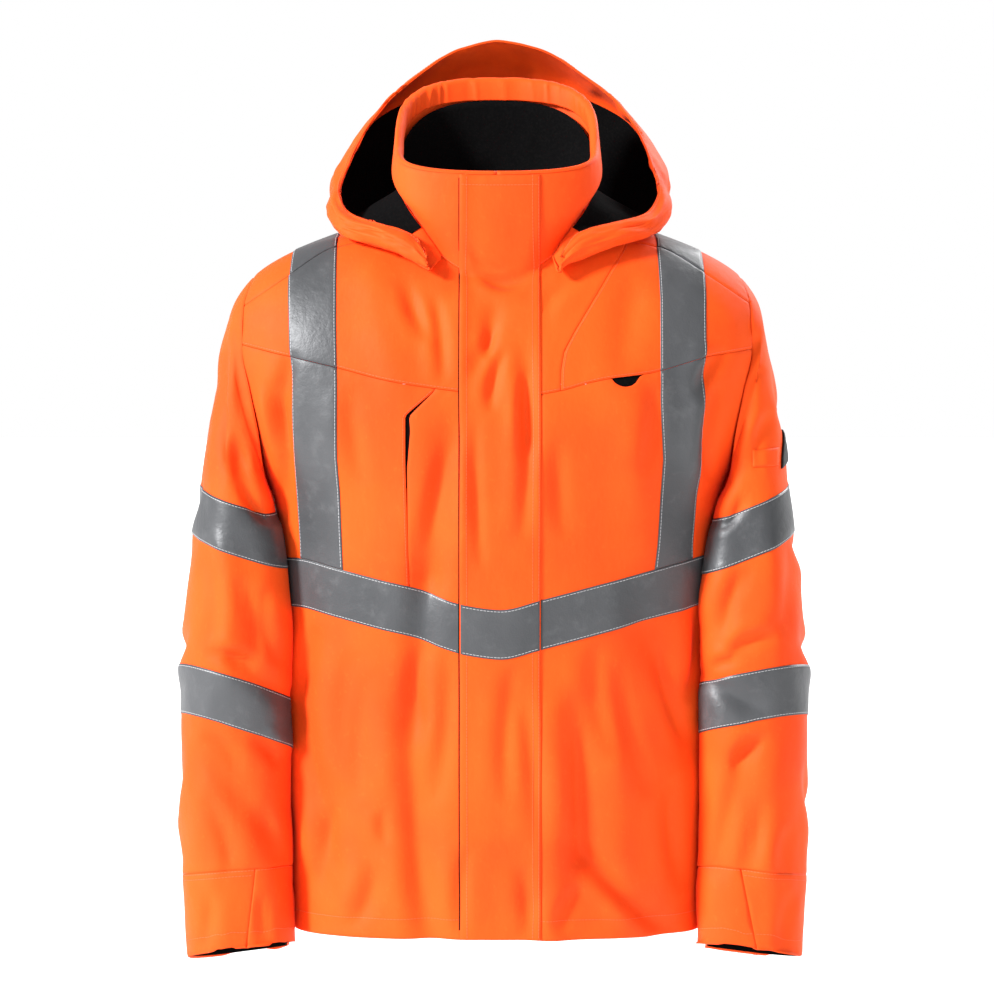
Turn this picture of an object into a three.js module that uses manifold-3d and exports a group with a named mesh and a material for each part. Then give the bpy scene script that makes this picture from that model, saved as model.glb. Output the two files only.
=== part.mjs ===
import * as THREE from 'three';
import Module from 'manifold-3d';

const wasm = await Module();
wasm.setup();

// Millimetres. Front faces -Y, the wearer's left is +X, up is +Z.
// The origin sits between the shoulders, level with the base of the neck.

// Cloth and trim sizes
const CLOTH = 1.7;
const TAPE = 0.9;
const TAPE_WIDTH = 50;
const SEAM_GAP = 0.3;
const LIFT = 0.3;
const FLAP = 1.6;
const FLAP_LEFT = 42;
const FLAP_RIGHT = -36;
const FRONT_OPENING = 3;
const HALF_GAP = SEAM_GAP / 2;
const CLEARANCE = 4.3;
const SEAM_CLEARANCE = 0.6;

// Colours and roughness
const ORANGE = { color: 0xff5a1f, roughness: 0.78 };
const GREY = { color: 0x8b8d90, roughness: 0.45 };
const BLACK = { color: 0x121212, roughness: 0.95 };
const TAB_BLACK = { color: 0x121212, roughness: 0.6 };

// Grid sizes
const FRONT_COLUMNS = 24;
const BACK_COLUMNS = 11;
const SLEEVE_COLUMNS = 18;
const NECK_ROW = 17;
const UNDERARM = -266;
const ARM_TOP = -44;
// Reach of a cutting block past the garment
const FAR = 420;

// Body rings from hem to neck, then the stand collar
const BODY = table(
  'sideZ frontZ backZ halfWidth front back fullness corner roll', [
    [-702, -694, -700, 206, 127, 122, 0.74, 1.00, 1.6],
    [-615, -612, -615, 210, 130, 125, 0.79, 1.00, 1.6],
    [-525, -525, -525, 213, 133, 128, 0.80, 1.00, 1.6],
    [-445, -445, -445, 214, 134, 129, 0.80, 1.00, 1.6],
    [-375, -375, -375, 215, 135, 130, 0.80, 1.00, 1.6],
    [-315, -317, -315, 217, 136, 131, 0.80, 1.00, 1.6],
    [-268, -272, -268, 223, 137, 133, 0.80, 1.00, 1.6],
    [-232, -238, -232, 238, 137, 134, 0.80, 1.00, 1.6],
    [-196, -210, -196, 254, 136, 135, 0.80, 1.00, 1.6],
    [-158, -182, -158, 265, 134, 135, 0.80, 1.00, 1.6],
    [-120, -153, -118, 269, 130, 132, 0.80, 1.00, 1.6],
    [-88, -127, -76, 265, 124, 126, 0.80, 1.00, 1.6],
    [-64, -108, -46, 252, 117, 119, 0.80, 1.00, 1.6],
    [-47, -94, -24, 236, 110, 111, 0.80, 1.00, 1.6],
    [-33, -83, -7, 214, 104, 104, 0.80, 1.00, 1.6],
    [-19, -71, 9, 180, 97, 96, 0.80, 1.00, 1.6],
    [-5, -59, 28, 124, 87, 85, 0.78, 0.98, 1.6],
    [8, -50, 40, 80, 79, 77, 0.74, 0.95, 1.5],
    [33, -22, 70, 92, 79, 84, 0.70, 0.90, 1.3],
    [56, 8, 98, 104, 78, 92, 0.65, 0.86, 0.9],
    [78, 50, 141, 101, 72, 100, 0.60, 0.80, 0.5],
  ]);

// Armhole seam seen from the front, down from the shoulder
const ARMHOLE = table('x z', [
  [236, -20], [240, -47], [249, -80], [250, -120], [242, -160], [233, -205],
  [229, -240], [223.5, UNDERARM],
]);

// Largest soft folds of the body: troughs are negative, ridges positive
const BODY_FOLDS = table('face x1 z1 x2 z2 width depth', [
  [-1, -46, -205, -66, -330, 17, -7],
  [-1, -70, -345, -80, -470, 16, -9],
  [-1, -80, -470, -64, -690, 18, -7],
  [-1, 78, -470, 84, -610, 15, -6],
  [-1, 84, -610, 165, -690, 13, -6],
  [-1, 54, -480, 52, -690, 17, 5],
  [-1, 118, -520, 124, -650, 20, 5],
  [-1, 148, -400, 186, -505, 16, -6],
  [-1, 27, -130, 27, -205, 11, -4],
  [-1, -5, -90, -16, -128, 9, -4],
  [-1, 120, -160, 145, -300, 22, 4],
  [-1, -158, -560, -172, -640, 15, -4],
  [-1, -105, -560, -102, -600, 12, -3],
  [-1, -120, -60, -100, -140, 20, 4],
  [-1, 130, -70, 122, -120, 16, -4],
  [1, -60, -200, -80, -420, 24, -7],
  [1, 70, -180, 92, -460, 22, -8],
  [1, 10, -420, -14, -690, 26, 6],
  [1, 120, -480, 134, -690, 20, -7],
  [1, -126, -440, -118, -690, 22, -7],
  [1, -150, -220, -170, -330, 18, 5],
]);

// Sleeve rings from the armhole to the cuff hem
const SLEEVE = table('outerX outerZ innerX innerZ midY depth pitch blend', [
  [236, -46, 223, -266, 0, 62, 0.00, 1.00],
  [251, -61, 224, -268, 0, 64, 0.00, 0.80],
  [262, -80, 224, -270, 0, 68, 0.00, 0.45],
  [268, -106, 223, -273, 0, 72, 0.00, 0.15],
  [276, -148, 219, -278, -1, 76, 0.00, 0.00],
  [284, -200, 213, -286, -5, 79, 0.00, 0.00],
  [292, -254, 204, -303, -9, 80, 0.00, 0.00],
  [299, -312, 198, -336, -13, 80, 0.00, 0.00],
  [306, -366, 195, -377, -16, 79, 0.02, 0.00],
  [311, -425, 195, -430, -18, 77, 0.04, 0.00],
  [312, -485, 195, -486, -21, 74, 0.07, 0.00],
  [313, -565, 196, -560, -24, 68, 0.13, 0.00],
  [312, -649, 197, -640, -30, 61, 0.20, 0.00],
  [308, -731, 198, -717, -38, 53, 0.28, 0.00],
]);
const CUFF_ROW = 12;
const SLEEVE_SHIFT = -2.5;

// Largest folds of the sleeves, in front view, x from the body's middle
const SLEEVE_FOLDS = table('side face x1 z1 x2 z2 width depth', [
  [-1, -1, 258, -115, 252, -225, 10, -5],
  [-1, -1, 252, -225, 232, -280, 10, -6],
  [-1, -1, 250, -425, 208, -462, 11, -7],
  [-1, -1, 271, -535, 228, -590, 12, -5],
  [-1, -1, 228, -590, 206, -640, 10, -5],
  [-1, -1, 268, -330, 262, -430, 16, 4],
  [1, -1, 254, -117, 226, -150, 9, -7],
  [1, -1, 246, -465, 206, -442, 11, -7],
  [1, -1, 243, -513, 219, -625, 12, -6],
  [1, -1, 262, -215, 240, -300, 18, -4],
  [1, -1, 275, -540, 270, -630, 15, 4],
  [-1, 1, 262, -180, 246, -300, 16, -5],
  [-1, 1, 280, -400, 225, -450, 12, -6],
  [-1, 1, 276, -480, 240, -520, 13, 4],
  [1, 1, 262, -170, 244, -290, 17, -5],
  [1, 1, 278, -395, 224, -440, 12, -6],
  [1, 1, 270, -560, 250, -630, 13, -4],
]);

// Hood hanging open on the back, from the middle of the back to the front tip
const HOOD = table(
  'brimX brimY brimZ crownX crownY crownZ bellyX bellyY bellyZ lowX lowY lowZ turn row facing skew', [
    [0, 148, 185, 0, 186, 156, 0, 206, 70, 0, 172, -34, 180, 18.0, 1.30, 0],
    [40, 146, 176, 48, 181, 147, 52, 199, 66, 46, 166, -32, 158, 18.0, 1.25, 3],
    [78, 137, 152, 92, 167, 126, 98, 180, 58, 84, 152, -22, 136, 18.0, 1.10, 7],
    [112, 116, 122, 130, 138, 98, 137, 146, 44, 116, 122, -6, 116, 18.0, 1.00, 10],
    [136, 84, 89, 154, 96, 70, 161, 98, 32, 140, 84, 4, 100, 18.0, 1.00, 9],
    [148, 48, 62, 163, 50, 48, 168, 48, 24, 152, 42, 2, 84, 18.1, 1.05, 7],
    [156, 12, 34, 165, 6, 28, 167, -2, 13, 154, -8, -5, 70, 18.0, 1.10, 4],
    [146, -26, 13, 153, -34, 8, 153, -40, -2, 142, -42, -12, 56, 17.8, 1.10, 2],
    [112, -54, 2, 118, -63, -3, 117, -67, -12, 106, -64, -22, 54, 17.7, 1.10, -1],
    [80, -69, -9, 84, -79, -14, 83, -84, -24, 75, -81, -36, 46, 17.4, 1.10, -4],
    [67, -78, -24, 69, -86, -28, 68, -90, -36, 65, -88, -42, 40, 17.1, 1.10, -6],
  ]);
const HALF_ACROSS = [0.9, 1.8, 2.7, 3.6, 4.5, 5.4, 6.2, 7, 8, 9, 10];
const HOOD_STEPS = HALF_ACROSS.length;
const HOOD_ROOT = 2;
const HOOD_WALL = 0.7;
const HOOD_PANEL = 3;
// Grid row where the panels meet the strip that joins the hood to the neck
const NECK_STRIP_ROW = 5;
const NECK_STRIP_TRIM = 0.8;
const LINING = 0.9;
const LINING_STEPS = 9;

const LINING_TOP = 18.95;
const LINING_RISE = 0.5;
// Collar lining: row of the collar and distance inside it
const COLLAR_LINING = table('row inward', [[17.1, 2.6], [18.2, 4], [LINING_TOP, 8.2]]);

// Turned-in collar edge: how far in from the top edge, and how far up
const COLLAR_EDGE = table('inward up', [[0.1, 0.4], [3.4, 3.6], [9.2, -1], [8.6, -20]]);
const COLLAR_EDGE_WALL = 1.2;

// Seams seen from the front
const CHEST_RIGHT = table('x z', [
  [-270, -112], [-247, -116.5], [-155, -135], [-98, -148.5], [FRONT_OPENING, -161],
]);
const CHEST_LEFT = table('x z', [
  [FRONT_OPENING, -165], [62, -156], [90, -148.5], [112, -144.5], [147, -140.5], [209, -125], [270, -118],
]);
const SHOULDER_RIGHT = table('x z', [
  [-270, -92], [-250, -79], [-203, -48], [-160, -22], [-118, -13], [-60, 2],
]);
const SHOULDER_LEFT = table('x z', [[60, 2], [118, -13], [160, -22], [203, -46], [250, -77], [270, -90]]);
const CHEST_PANEL = table('x z', [
  [128, 6], [125, -20], [100, -60], [76, -98], [65, -118], [62, -135], [61, -158],
]);
const BACK_SEAM = -168;
// Seam of the yoke that the shoulder tapes cover
const SHOULDER_SPLIT = 181;

// Bands of tape: the top edge, the bottom edge lies one tape width below
const BAND_FRONT = table('x z', [
  [-260, -329], [-213, -327], [-192, -325], [-152, -331.5], [-113, -340], [-94, -344], [-55, -356.5],
  [-35, -362], [4, -367], [41, -358.5], [80, -349], [119, -340], [158, -331], [179, -327],
  [208, -323], [260, -322],
]);
const BAND_BACK_Z = -326;
const BAND_DROP = 48.5;
const SLEEVE_BANDS = table('side outerX outerZ innerX innerZ lean', [
  [-1, 320, -249, 200, -288, 0.00],
  [-1, 330, -438, 190, -484, -0.24],
  [1, 320, -244, 190, -296, 0.00],
  [1, 330, -441, 180, -469, -0.24],
]);

// Slanted seam that splits each cuff, in front view
const CUFF_SPLIT = table('side topX topZ lowX lowZ', [
  [-1, 234, -600, 252, -750], [1, 234, -600, 265, -750],
]);

// Brace tapes: x of their edges at heights
const BRACES = table('z outerRight innerRight outerLeft innerLeft', [
  [120, 205, 157, 203, 157],
  [-25, 205, 157, 203, 157],
  [-70, 203.5, 156, 203.5, 158.5],
  [-165, 199.5, 154, 202.5, 158],
  [-224, 199.5, 154, 199.5, 160],
  [-262, 196.5, 152, 194, 157],
  [-311, 194, 150, 191, 154],
  [-360, 192, 148, 192, 151],
]);

// Chest pocket mouth on the wearer's left: a half moon below the yoke seam
const MOON = table('x z', [
  [111, -143], [113, -148.5], [118, -152], [124, -153], [130, -151.5], [136, -147], [139, -140],
]);

// Vertical chest pocket on the wearer's right: the outer edge of the mouth and its corner
const POCKET_X = -88;
const MOUTH_TOP = -180;
const MOUTH_LOW = -226;
const MOUTH_WIDE = 8;

// Black bags behind the two chest pockets: x and z of two corners
const BAG_RIGHT = [-108, -250, -64, -160];
const BAG_LEFT = [98, -190, 150, -124];

// Patch and tab on the wearer's left sleeve, seen from the front
const SLEEVE_PATCH = { left: 250, right: 277, top: -217, low: -234, back: 0 };
const SLEEVE_TAB = { left: 279.5, right: 330, top: -203, low: -238, back: -14 };

function table(names, rows) {
  const keys = names.split(' ');
  return rows.map((row) => Object.fromEntries(keys.map((key, i) => [key, row[i]])));
}

// Smooth value of a table between its rows
function rowAt(rows, at) {
  const last = rows.length - 1;
  const i = Math.min(last - 1, Math.max(0, Math.floor(at)));
  const t = at - i;
  const a = rows[Math.max(0, i - 1)];
  const b = rows[i];
  const c = rows[i + 1];
  const d = rows[Math.min(last, i + 2)];
  const out = {};
  for (const key of Object.keys(b)) {
    const m1 = slope(b[key] - a[key], c[key] - b[key]);
    const m2 = slope(c[key] - b[key], d[key] - c[key]);
    const t2 = t * t;
    const t3 = t2 * t;
    out[key] = (2 * t3 - 3 * t2 + 1) * b[key] + (t3 - 2 * t2 + t) * m1
      + (3 * t2 - 2 * t3) * c[key] + (t3 - t2) * m2;
  }
  return out;
}

function slope(before, after) {
  return before * after <= 0 ? 0 : (2 * before * after) / (before + after);
}

// Straight-line value of a seam table
function along(rows, key, at, value) {
  const up = rows[rows.length - 1][key] > rows[0][key] ? 1 : -1;
  let i = 0;
  while (i < rows.length - 2 && (at - rows[i + 1][key]) * up > 0) i += 1;
  const t = (at - rows[i][key]) / (rows[i + 1][key] - rows[i][key]);
  return rows[i][value] + (rows[i + 1][value] - rows[i][value]) * Math.min(1, Math.max(0, t));
}

// Sum of soft folds at a point seen from the front
function foldDepth(folds, x, z) {
  let sum = 0;
  for (const f of folds) {
    const dx = f.x2 - f.x1;
    const dz = f.z2 - f.z1;
    const length = Math.hypot(dx, dz);
    const t = ((x - f.x1) * dx + (z - f.z1) * dz) / (length * length);
    const off = Math.abs((x - f.x1) * dz - (z - f.z1) * dx) / length;
    const past = Math.max(0, -t, t - 1) * length;
    sum += f.depth * Math.exp(-((off / f.width) ** 2) - (past / (1.6 * f.width)) ** 2);
  }
  return sum;
}

function power(value, exponent) {
  return Math.sign(value) * Math.abs(value) ** exponent;
}

// Body surface before its folds: turn 0 is the middle of the front
function bodyBase(turn, at) {
  const r = rowAt(BODY, at);
  const c = Math.cos(turn);
  const endZ = c > 0 ? r.frontZ : r.backZ;
  const depth = c > 0 ? -r.front : r.back;
  return new THREE.Vector3(
    r.halfWidth * power(Math.sin(turn), r.corner),
    depth * Math.abs(c) ** r.fullness,
    r.sideZ + (endZ - r.sideZ) * Math.abs(c) ** r.roll,
  );
}

// Body surface with its folds
function bodyPoint(turn, at) {
  const p = bodyBase(turn, at);
  const e = 0.01;
  const du = bodyBase(turn + e, at).sub(bodyBase(turn - e, at));
  const dv = bodyBase(turn, at + e).sub(bodyBase(turn, at - e));
  const normal = du.cross(dv).normalize();
  const face = Math.cos(turn) > 0 ? -1 : 1;
  const folds = BODY_FOLDS.filter((f) => f.face === face);
  const calm = Math.min(1, Math.abs(Math.cos(turn)) / 0.25);
  return p.addScaledVector(normal, foldDepth(folds, p.x, p.z) * calm);
}

// Half width of the body at a height and depth, for clearances below the arm
function bodyReach(y, z) {
  let i = 0;
  while (i < 9 && BODY[i + 1].sideZ < z) i += 1;
  const t = (z - BODY[i].sideZ) / (BODY[i + 1].sideZ - BODY[i].sideZ);
  const r = rowAt(BODY, i + Math.min(1, Math.max(0, t)));
  const depth = y < 0 ? r.front : r.back;
  const c = Math.min(1, Math.abs(y) / depth) ** (1 / r.fullness);
  return r.halfWidth * Math.sqrt(Math.max(0, 1 - c * c));
}

// Where the body surface meets the armhole seam, at a height
function armholePoint(z, face, push) {
  const x = along(ARMHOLE, 'z', z, 'x') + push;
  let low = 0;
  let high = Math.PI / 2;
  for (let step = 0; step < 30; step += 1) {
    const turn = (low + high) / 2;
    const p = onBody(face < 0 ? turn : Math.PI - turn, z);
    if (p.x < x) low = turn;
    else high = turn;
  }
  return onBody(face < 0 ? low : Math.PI - low, z);
}

// Body surface at a turn and a height
function onBody(turn, z) {
  let low = 0;
  let high = NECK_ROW;
  for (let step = 0; step < 30; step += 1) {
    const at = (low + high) / 2;
    if (bodyBase(turn, at).z < z) low = at;
    else high = at;
  }
  return bodyBase(turn, low);
}

// Sleeve surface on one side: side is -1 for the wearer's right
function sleevePoint(side, turn, at) {
  const r = rowAt(SLEEVE, at);
  const first = SLEEVE[0];
  const square = Math.cos(turn) > 0 && r.blend < 0.3 ? 0.62 : 0.86;
  const reach = 0.5 - 0.5 * power(Math.cos(turn), square);
  const out = power(Math.sin(turn), 0.86);
  const p = new THREE.Vector3(
    r.innerX + (r.outerX - r.innerX) * reach + side * SLEEVE_SHIFT * (1 - r.blend),
    r.midY - r.depth * out,
    r.innerZ + (r.outerZ - r.innerZ) * reach + r.pitch * r.depth * out,
  );
  if (r.blend > 0) {
    const loop = armholeLoop(turn);
    const up = 0.5 - 0.5 * Math.cos(turn);
    loop.x += r.innerX - first.innerX + (r.outerX - first.outerX - r.innerX + first.innerX) * up;
    loop.z += r.innerZ - first.innerZ + (r.outerZ - first.outerZ - r.innerZ + first.innerZ) * up;
    p.lerp(loop, r.blend);
  }
  const face = Math.sin(turn) > 0 ? -1 : 1;
  const folds = SLEEVE_FOLDS.filter((f) => f.side === side && f.face === face);
  const calm = Math.min(1, Math.abs(Math.sin(turn)) / 0.4);
  p.y += face * foldDepth(folds, p.x, p.z) * calm;
  if (p.z < UNDERARM + 8) {
    const t = Math.min(1, Math.max(0, (UNDERARM + 4 - p.z) / 18));
    p.x = Math.max(p.x, bodyReach(p.y, p.z) + SEAM_CLEARANCE + (CLEARANCE - SEAM_CLEARANCE) * t);
  }
  return new THREE.Vector3(side * p.x, p.y, p.z);
}

// Armhole loop, turn 0 at the underarm, first along the front
function armholeLoop(turn) {
  const reach = 0.5 - 0.5 * Math.cos(turn);
  const z = UNDERARM + (ARM_TOP - UNDERARM) * reach;
  const p = armholePoint(z, Math.sin(turn) >= 0 ? -1 : 1, -5);
  p.y *= Math.abs(Math.sin(turn)) ** 0.05;
  return p;
}

// Hood surface: across 0 is the middle of the back, down runs from brim to neck
function hoodPoint(side, across, down) {
  const r = rowAt(HOOD, across);
  const root = bodyBase((r.turn * Math.PI) / 180, r.row);
  const outward = new THREE.Vector3(root.x, root.y, 0).normalize();
  root.addScaledVector(outward, HOOD_ROOT);
  const wide = side > 0 ? r.skew : 0;
  const q = rowAt([
    { x: r.brimX + wide, y: r.brimY, z: r.brimZ },
    { x: r.crownX + wide, y: r.crownY, z: r.crownZ },
    { x: r.bellyX + wide, y: r.bellyY, z: r.bellyZ },
    { x: r.lowX + wide, y: r.lowY, z: r.lowZ },
    { x: root.x, y: root.y, z: root.z },
  ], down);
  return new THREE.Vector3(side * q.x, q.y, q.z);
}

// 0 at the middle of the front, 1 at the middle of the back
function behind(turn) {
  return (1 - Math.cos(turn)) / 2;
}

// Point inside the collar, square to its wall
function collarInside(turn, at, inward) {
  const p = bodyPoint(turn, at);
  const rise = bodyPoint(turn, at + 0.05).sub(bodyPoint(turn, at - 0.05)).normalize();
  const tangent = bodyPoint(turn + 0.02, at).sub(bodyPoint(turn - 0.02, at)).normalize();
  return p.addScaledVector(tangent.cross(rise).normalize(), -inward);
}

// Points of the turned-in collar edge
function collarEdge(turn, inward, up) {
  const top = BODY.length - 1;
  const p = bodyPoint(turn, top);
  const rise = p.clone().sub(bodyPoint(turn, top - 0.2)).normalize();
  const tangent = bodyPoint(turn + 0.02, top).sub(bodyPoint(turn - 0.02, top)).normalize();
  const outward = tangent.cross(rise).normalize();
  const deep = up < 0 ? 0.5 + 0.5 * behind(turn) : 1;
  return p.addScaledVector(outward, -inward).addScaledVector(rise, up * deep);
}

// Closed body from a vertex list and triangle list
function solid(vertices, triangles) {
  const flat = new Float32Array(vertices.length * 3);
  vertices.forEach((v, i) => flat.set([v.x, v.y, v.z], i * 3));
  const corners = new Uint32Array(triangles.flat());
  const mesh = new wasm.Mesh({ numProp: 3, vertProperties: flat, triVerts: corners });
  mesh.merge();
  return new wasm.Manifold(mesh);
}

function volume(vertices, triangles) {
  return triangles.reduce((sum, [a, b, c]) => {
    const cross = new THREE.Vector3().crossVectors(vertices[b], vertices[c]);
    return sum + vertices[a].dot(cross) / 6;
  }, 0);
}

// Grid of points with their normals, rows across columns
function surface(grid, closed) {
  const columns = grid[0].length;
  const normals = grid.map((row) => row.map(() => new THREE.Vector3()));
  for (const cell of cellsOf(grid, closed)) {
    const [a, b, c] = cell.map(([i, j]) => grid[i][j % columns]);
    const n = b.clone().sub(a).cross(c.clone().sub(a));
    cell.forEach(([i, j]) => normals[i][j % columns].add(n));
  }
  return grid.map((row, i) => row.map((p, j) => ({ p, n: normals[i][j].normalize() })));
}

function cellsOf(grid, closed) {
  const cells = [];
  for (let i = 0; i < grid.length - 1; i += 1) {
    for (let j = 0; j < grid[0].length - (closed ? 0 : 1); j += 1) {
      cells.push([[i, j], [i, j + 1], [i + 1, j + 1]], [[i, j], [i + 1, j + 1], [i + 1, j]]);
    }
  }
  return cells;
}

// Part of a grid between two rows, cut back by a distance at each end
function slice(grid, from, to, trimFrom, trimTo) {
  const rows = grid.slice(from, to + 1).map((row) => row.slice());
  const last = rows.length - 1;
  const near = grid[from].map((c, j) => mixCell(c, grid[from + 1][j], trimFrom));
  const far = grid[to].map((c, j) => mixCell(c, grid[to - 1][j], trimTo));
  rows[0] = near;
  rows[last] = far;
  return rows;
}

function mixCell(a, b, distance) {
  const t = distance / Math.max(1, a.p.distanceTo(b.p));
  return { p: a.p.clone().lerp(b.p, t), n: a.n.clone().lerp(b.n, t).normalize() };
}

// Columns of a grid between two column numbers, cut back at each end
function strip(grid, from, to, trimFrom, trimTo) {
  return grid.map((row) => {
    const cells = row.slice(from, to + 1);
    cells[0] = mixCell(row[from], row[from + 1], trimFrom);
    cells[cells.length - 1] = mixCell(row[to], row[to - 1], trimTo);
    return cells;
  });
}

// Thin wall between two distances from a grid
function wall(grid, closed, from, to) {
  const rows = grid.length;
  const columns = grid[0].length;
  const vertices = [from, to].flatMap((offset) => (
    grid.flatMap((row) => row.map(({ p, n }) => p.clone().addScaledVector(n, offset)))));
  const id = (i, j, layer) => layer * rows * columns + i * columns + (j % columns);
  const triangles = cellsOf(grid, closed).flatMap(([a, b, c]) => [
    [id(...a, 1), id(...b, 1), id(...c, 1)],
    [id(...a, 0), id(...c, 0), id(...b, 0)],
  ]);
  const edge = (a, b, flip) => {
    const quad = [id(...a, 0), id(...b, 0), id(...b, 1), id(...a, 1)];
    if (flip) quad.reverse();
    triangles.push([quad[0], quad[1], quad[2]], [quad[0], quad[2], quad[3]]);
  };
  for (let j = 0; j < columns - (closed ? 0 : 1); j += 1) {
    edge([0, j], [0, j + 1], false);
    edge([rows - 1, j], [rows - 1, j + 1], true);
  }
  for (let i = 0; !closed && i < rows - 1; i += 1) {
    edge([i, 0], [i + 1, 0], true);
    edge([i, columns - 1], [i + 1, columns - 1], false);
  }
  if (volume(vertices, triangles) < 0) triangles.forEach((t) => t.reverse());
  return solid(vertices, triangles);
}

// Straight-sided block through the garment from an outline of x and z
function prism(outline, y0, y1, lean = 0) {
  const shape = outline.map(([x, z]) => new THREE.Vector2(x, z));
  if (THREE.ShapeUtils.isClockWise(shape)) shape.reverse();
  const caps = THREE.ShapeUtils.triangulateShape(shape, []);
  const n = shape.length;
  const vertices = [y0, y1].flatMap((y) => shape.map((p) => new THREE.Vector3(p.x, y, p.y + lean * y)));
  const triangles = caps.flatMap(([a, b, c]) => [[a, b, c], [a + n, c + n, b + n]]);
  for (let i = 0; i < n; i += 1) {
    const k = (i + 1) % n;
    triangles.push([i, i + n, k + n], [i, k + n, k]);
  }
  if (volume(vertices, triangles) < 0) triangles.forEach((t) => t.reverse());
  return solid(vertices, triangles);
}

// Outline between two levels of z given as functions of x
function between(low, high, xs) {
  return [...xs.map((x) => [x, low(x)]), ...xs.slice().reverse().map((x) => [x, high(x)])];
}

const SEAM_TABLES = [CHEST_RIGHT, CHEST_LEFT, SHOULDER_RIGHT, SHOULDER_LEFT, BAND_FRONT];
const BODY_XS = [...new Set(SEAM_TABLES.flatMap((rows) => rows.map((r) => r.x)))].sort((a, b) => a - b);

// Turns of the body columns, closer together on the front
const TURNS = [
  ...Array.from({ length: FRONT_COLUMNS }, (_, j) => (-0.5 + j / FRONT_COLUMNS) * Math.PI),
  ...Array.from({ length: BACK_COLUMNS }, (_, j) => (0.5 + j / BACK_COLUMNS) * Math.PI),
];
const bodyGrid = surface(BODY.map((_, at) => TURNS.map((turn) => bodyPoint(turn, at))), true);
const torsoGrid = bodyGrid.slice(0, NECK_ROW + 1);
const collarGrid = slice(bodyGrid, NECK_ROW, BODY.length - 1, 0.45, 0);
const flapGrid = slice(bodyGrid, 0, BODY.length - 1, 0, 0.6);
const sleeveTurns = Array.from({ length: SLEEVE_COLUMNS }, (_, j) => (2 * Math.PI * j) / SLEEVE_COLUMNS);
const sleeveRing = (side, at) => sleeveTurns.map((turn) => sleevePoint(side, -side * turn, at));
const sleeveGrid = (side) => surface(SLEEVE.map((_, at) => sleeveRing(side, at)), true);

const pieces = [];
function piece(name, body, finish) {
  pieces.push({ name, body, ...finish });
}

// Body cloth
const bodyWall = wall(torsoGrid, true, -CLOTH, 0);
const armX = (z) => along(ARMHOLE, 'z', z, 'x');
const armZs = [60, -20, -47, -80, -120, -160, -205, -240, UNDERARM];
const armEdge = (push) => armZs.map((z) => [armX(z) + push, z]);
const torsoOutline = [
  ...armEdge(-HALF_GAP), [400, UNDERARM - 4], [400, -800], [-400, -800], [-400, UNDERARM - 4],
  ...armEdge(-HALF_GAP).reverse().map(([x, z]) => [-x, z]),
];
const torso = bodyWall.intersect(prism(torsoOutline, -FAR, FAR));
const shoulderZ = (x) => (x < 0 ? along(SHOULDER_RIGHT, 'x', Math.min(x, -60), 'z')
  : along(SHOULDER_LEFT, 'x', Math.max(x, 60), 'z'));
const chestZ = (x) => (x <= FRONT_OPENING ? along(CHEST_RIGHT, 'x', x, 'z') : along(CHEST_LEFT, 'x', x, 'z'));
const bandTop = (x) => along(BAND_FRONT, 'x', x, 'z');
const bandLow = (x) => bandTop(x) - BAND_DROP;
const xs = (from, to) => [from, ...BODY_XS.filter((x) => x > from + 1 && x < to - 1), to];
const front = (low, high, from, to) => prism(between(low, high, xs(from, to)), -FAR, -HALF_GAP);
const back = (low, high, from, to) => prism(between(low, high, xs(from, to)), HALF_GAP, FAR);
const level = (z) => () => z;

const rightEnd = FRONT_OPENING - HALF_GAP;
const leftStart = FRONT_OPENING + HALF_GAP;
const upperRight = front((x) => chestZ(x) + HALF_GAP, (x) => shoulderZ(x) - HALF_GAP, -300, rightEnd);
const lowerRight = front(level(-800), (x) => chestZ(x) - HALF_GAP, -300, rightEnd);
const upperLeft = front((x) => chestZ(x) + HALF_GAP, (x) => shoulderZ(x) - HALF_GAP, leftStart, 300);
const lowerLeft = front(level(-800), (x) => chestZ(x) - HALF_GAP, leftStart, 300);
const panelEdge = (push) => CHEST_PANEL.map((r) => [r.x + push, r.z]);
const panelOuter = prism([...panelEdge(HALF_GAP), [61 + HALF_GAP, -300], [400, -300], [400, 20]], -FAR, 0);
const panelInner = prism([
  ...panelEdge(-HALF_GAP), [61 - HALF_GAP, -300], [-100, -300], [-100, 20],
], -FAR, 0);

// Seam and open mouth of the chest pocket on the wearer's right
const pocketSplit = (push, open) => [
  [-60 + push, -150], [-60 + push, -156], [POCKET_X + open * MOUTH_WIDE + push, MOUTH_TOP - 2 * push],
  [POCKET_X + open * MOUTH_WIDE * 0.8 + push, MOUTH_TOP - 15], [POCKET_X + push, MOUTH_LOW],
  [POCKET_X + 2 + push, -300], [POCKET_X + 5 + push, -800],
];
const pocketOuter = prism([...pocketSplit(-HALF_GAP, 0), [-400, -800], [-400, -80]], -FAR, 0);
const pocketInner = prism([...pocketSplit(HALF_GAP, 1), [100, -800], [100, -80]], -FAR, 0);

const frontRight = torso.intersect(lowerRight);
const bandMiddle = (x) => bandTop(x) - BAND_DROP / 2;
const aboveBand = front((x) => bandMiddle(x) + HALF_GAP, level(300), -400, 100);
const belowBand = front(level(-800), (x) => bandMiddle(x) - HALF_GAP, -400, 100);
piece('front_right_side', frontRight.intersect(pocketOuter).intersect(aboveBand), ORANGE);
piece('front_right', frontRight.intersect(pocketInner.add(belowBand)), ORANGE);
const moon = prism(MOON.map((r) => [r.x, r.z]), -FAR, 0);
piece('front_left', torso.intersect(lowerLeft).subtract(moon), ORANGE);
const bagWall = wall(torsoGrid, true, -CLOTH - LIFT - LINING, -CLOTH - LIFT);
const boxCorners = ([x0, z0, x1, z1]) => [[x0, z0], [x1, z0], [x1, z1], [x0, z1]];
const bag = (size) => bagWall.intersect(prism(boxCorners(size), -FAR, 0));
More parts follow.
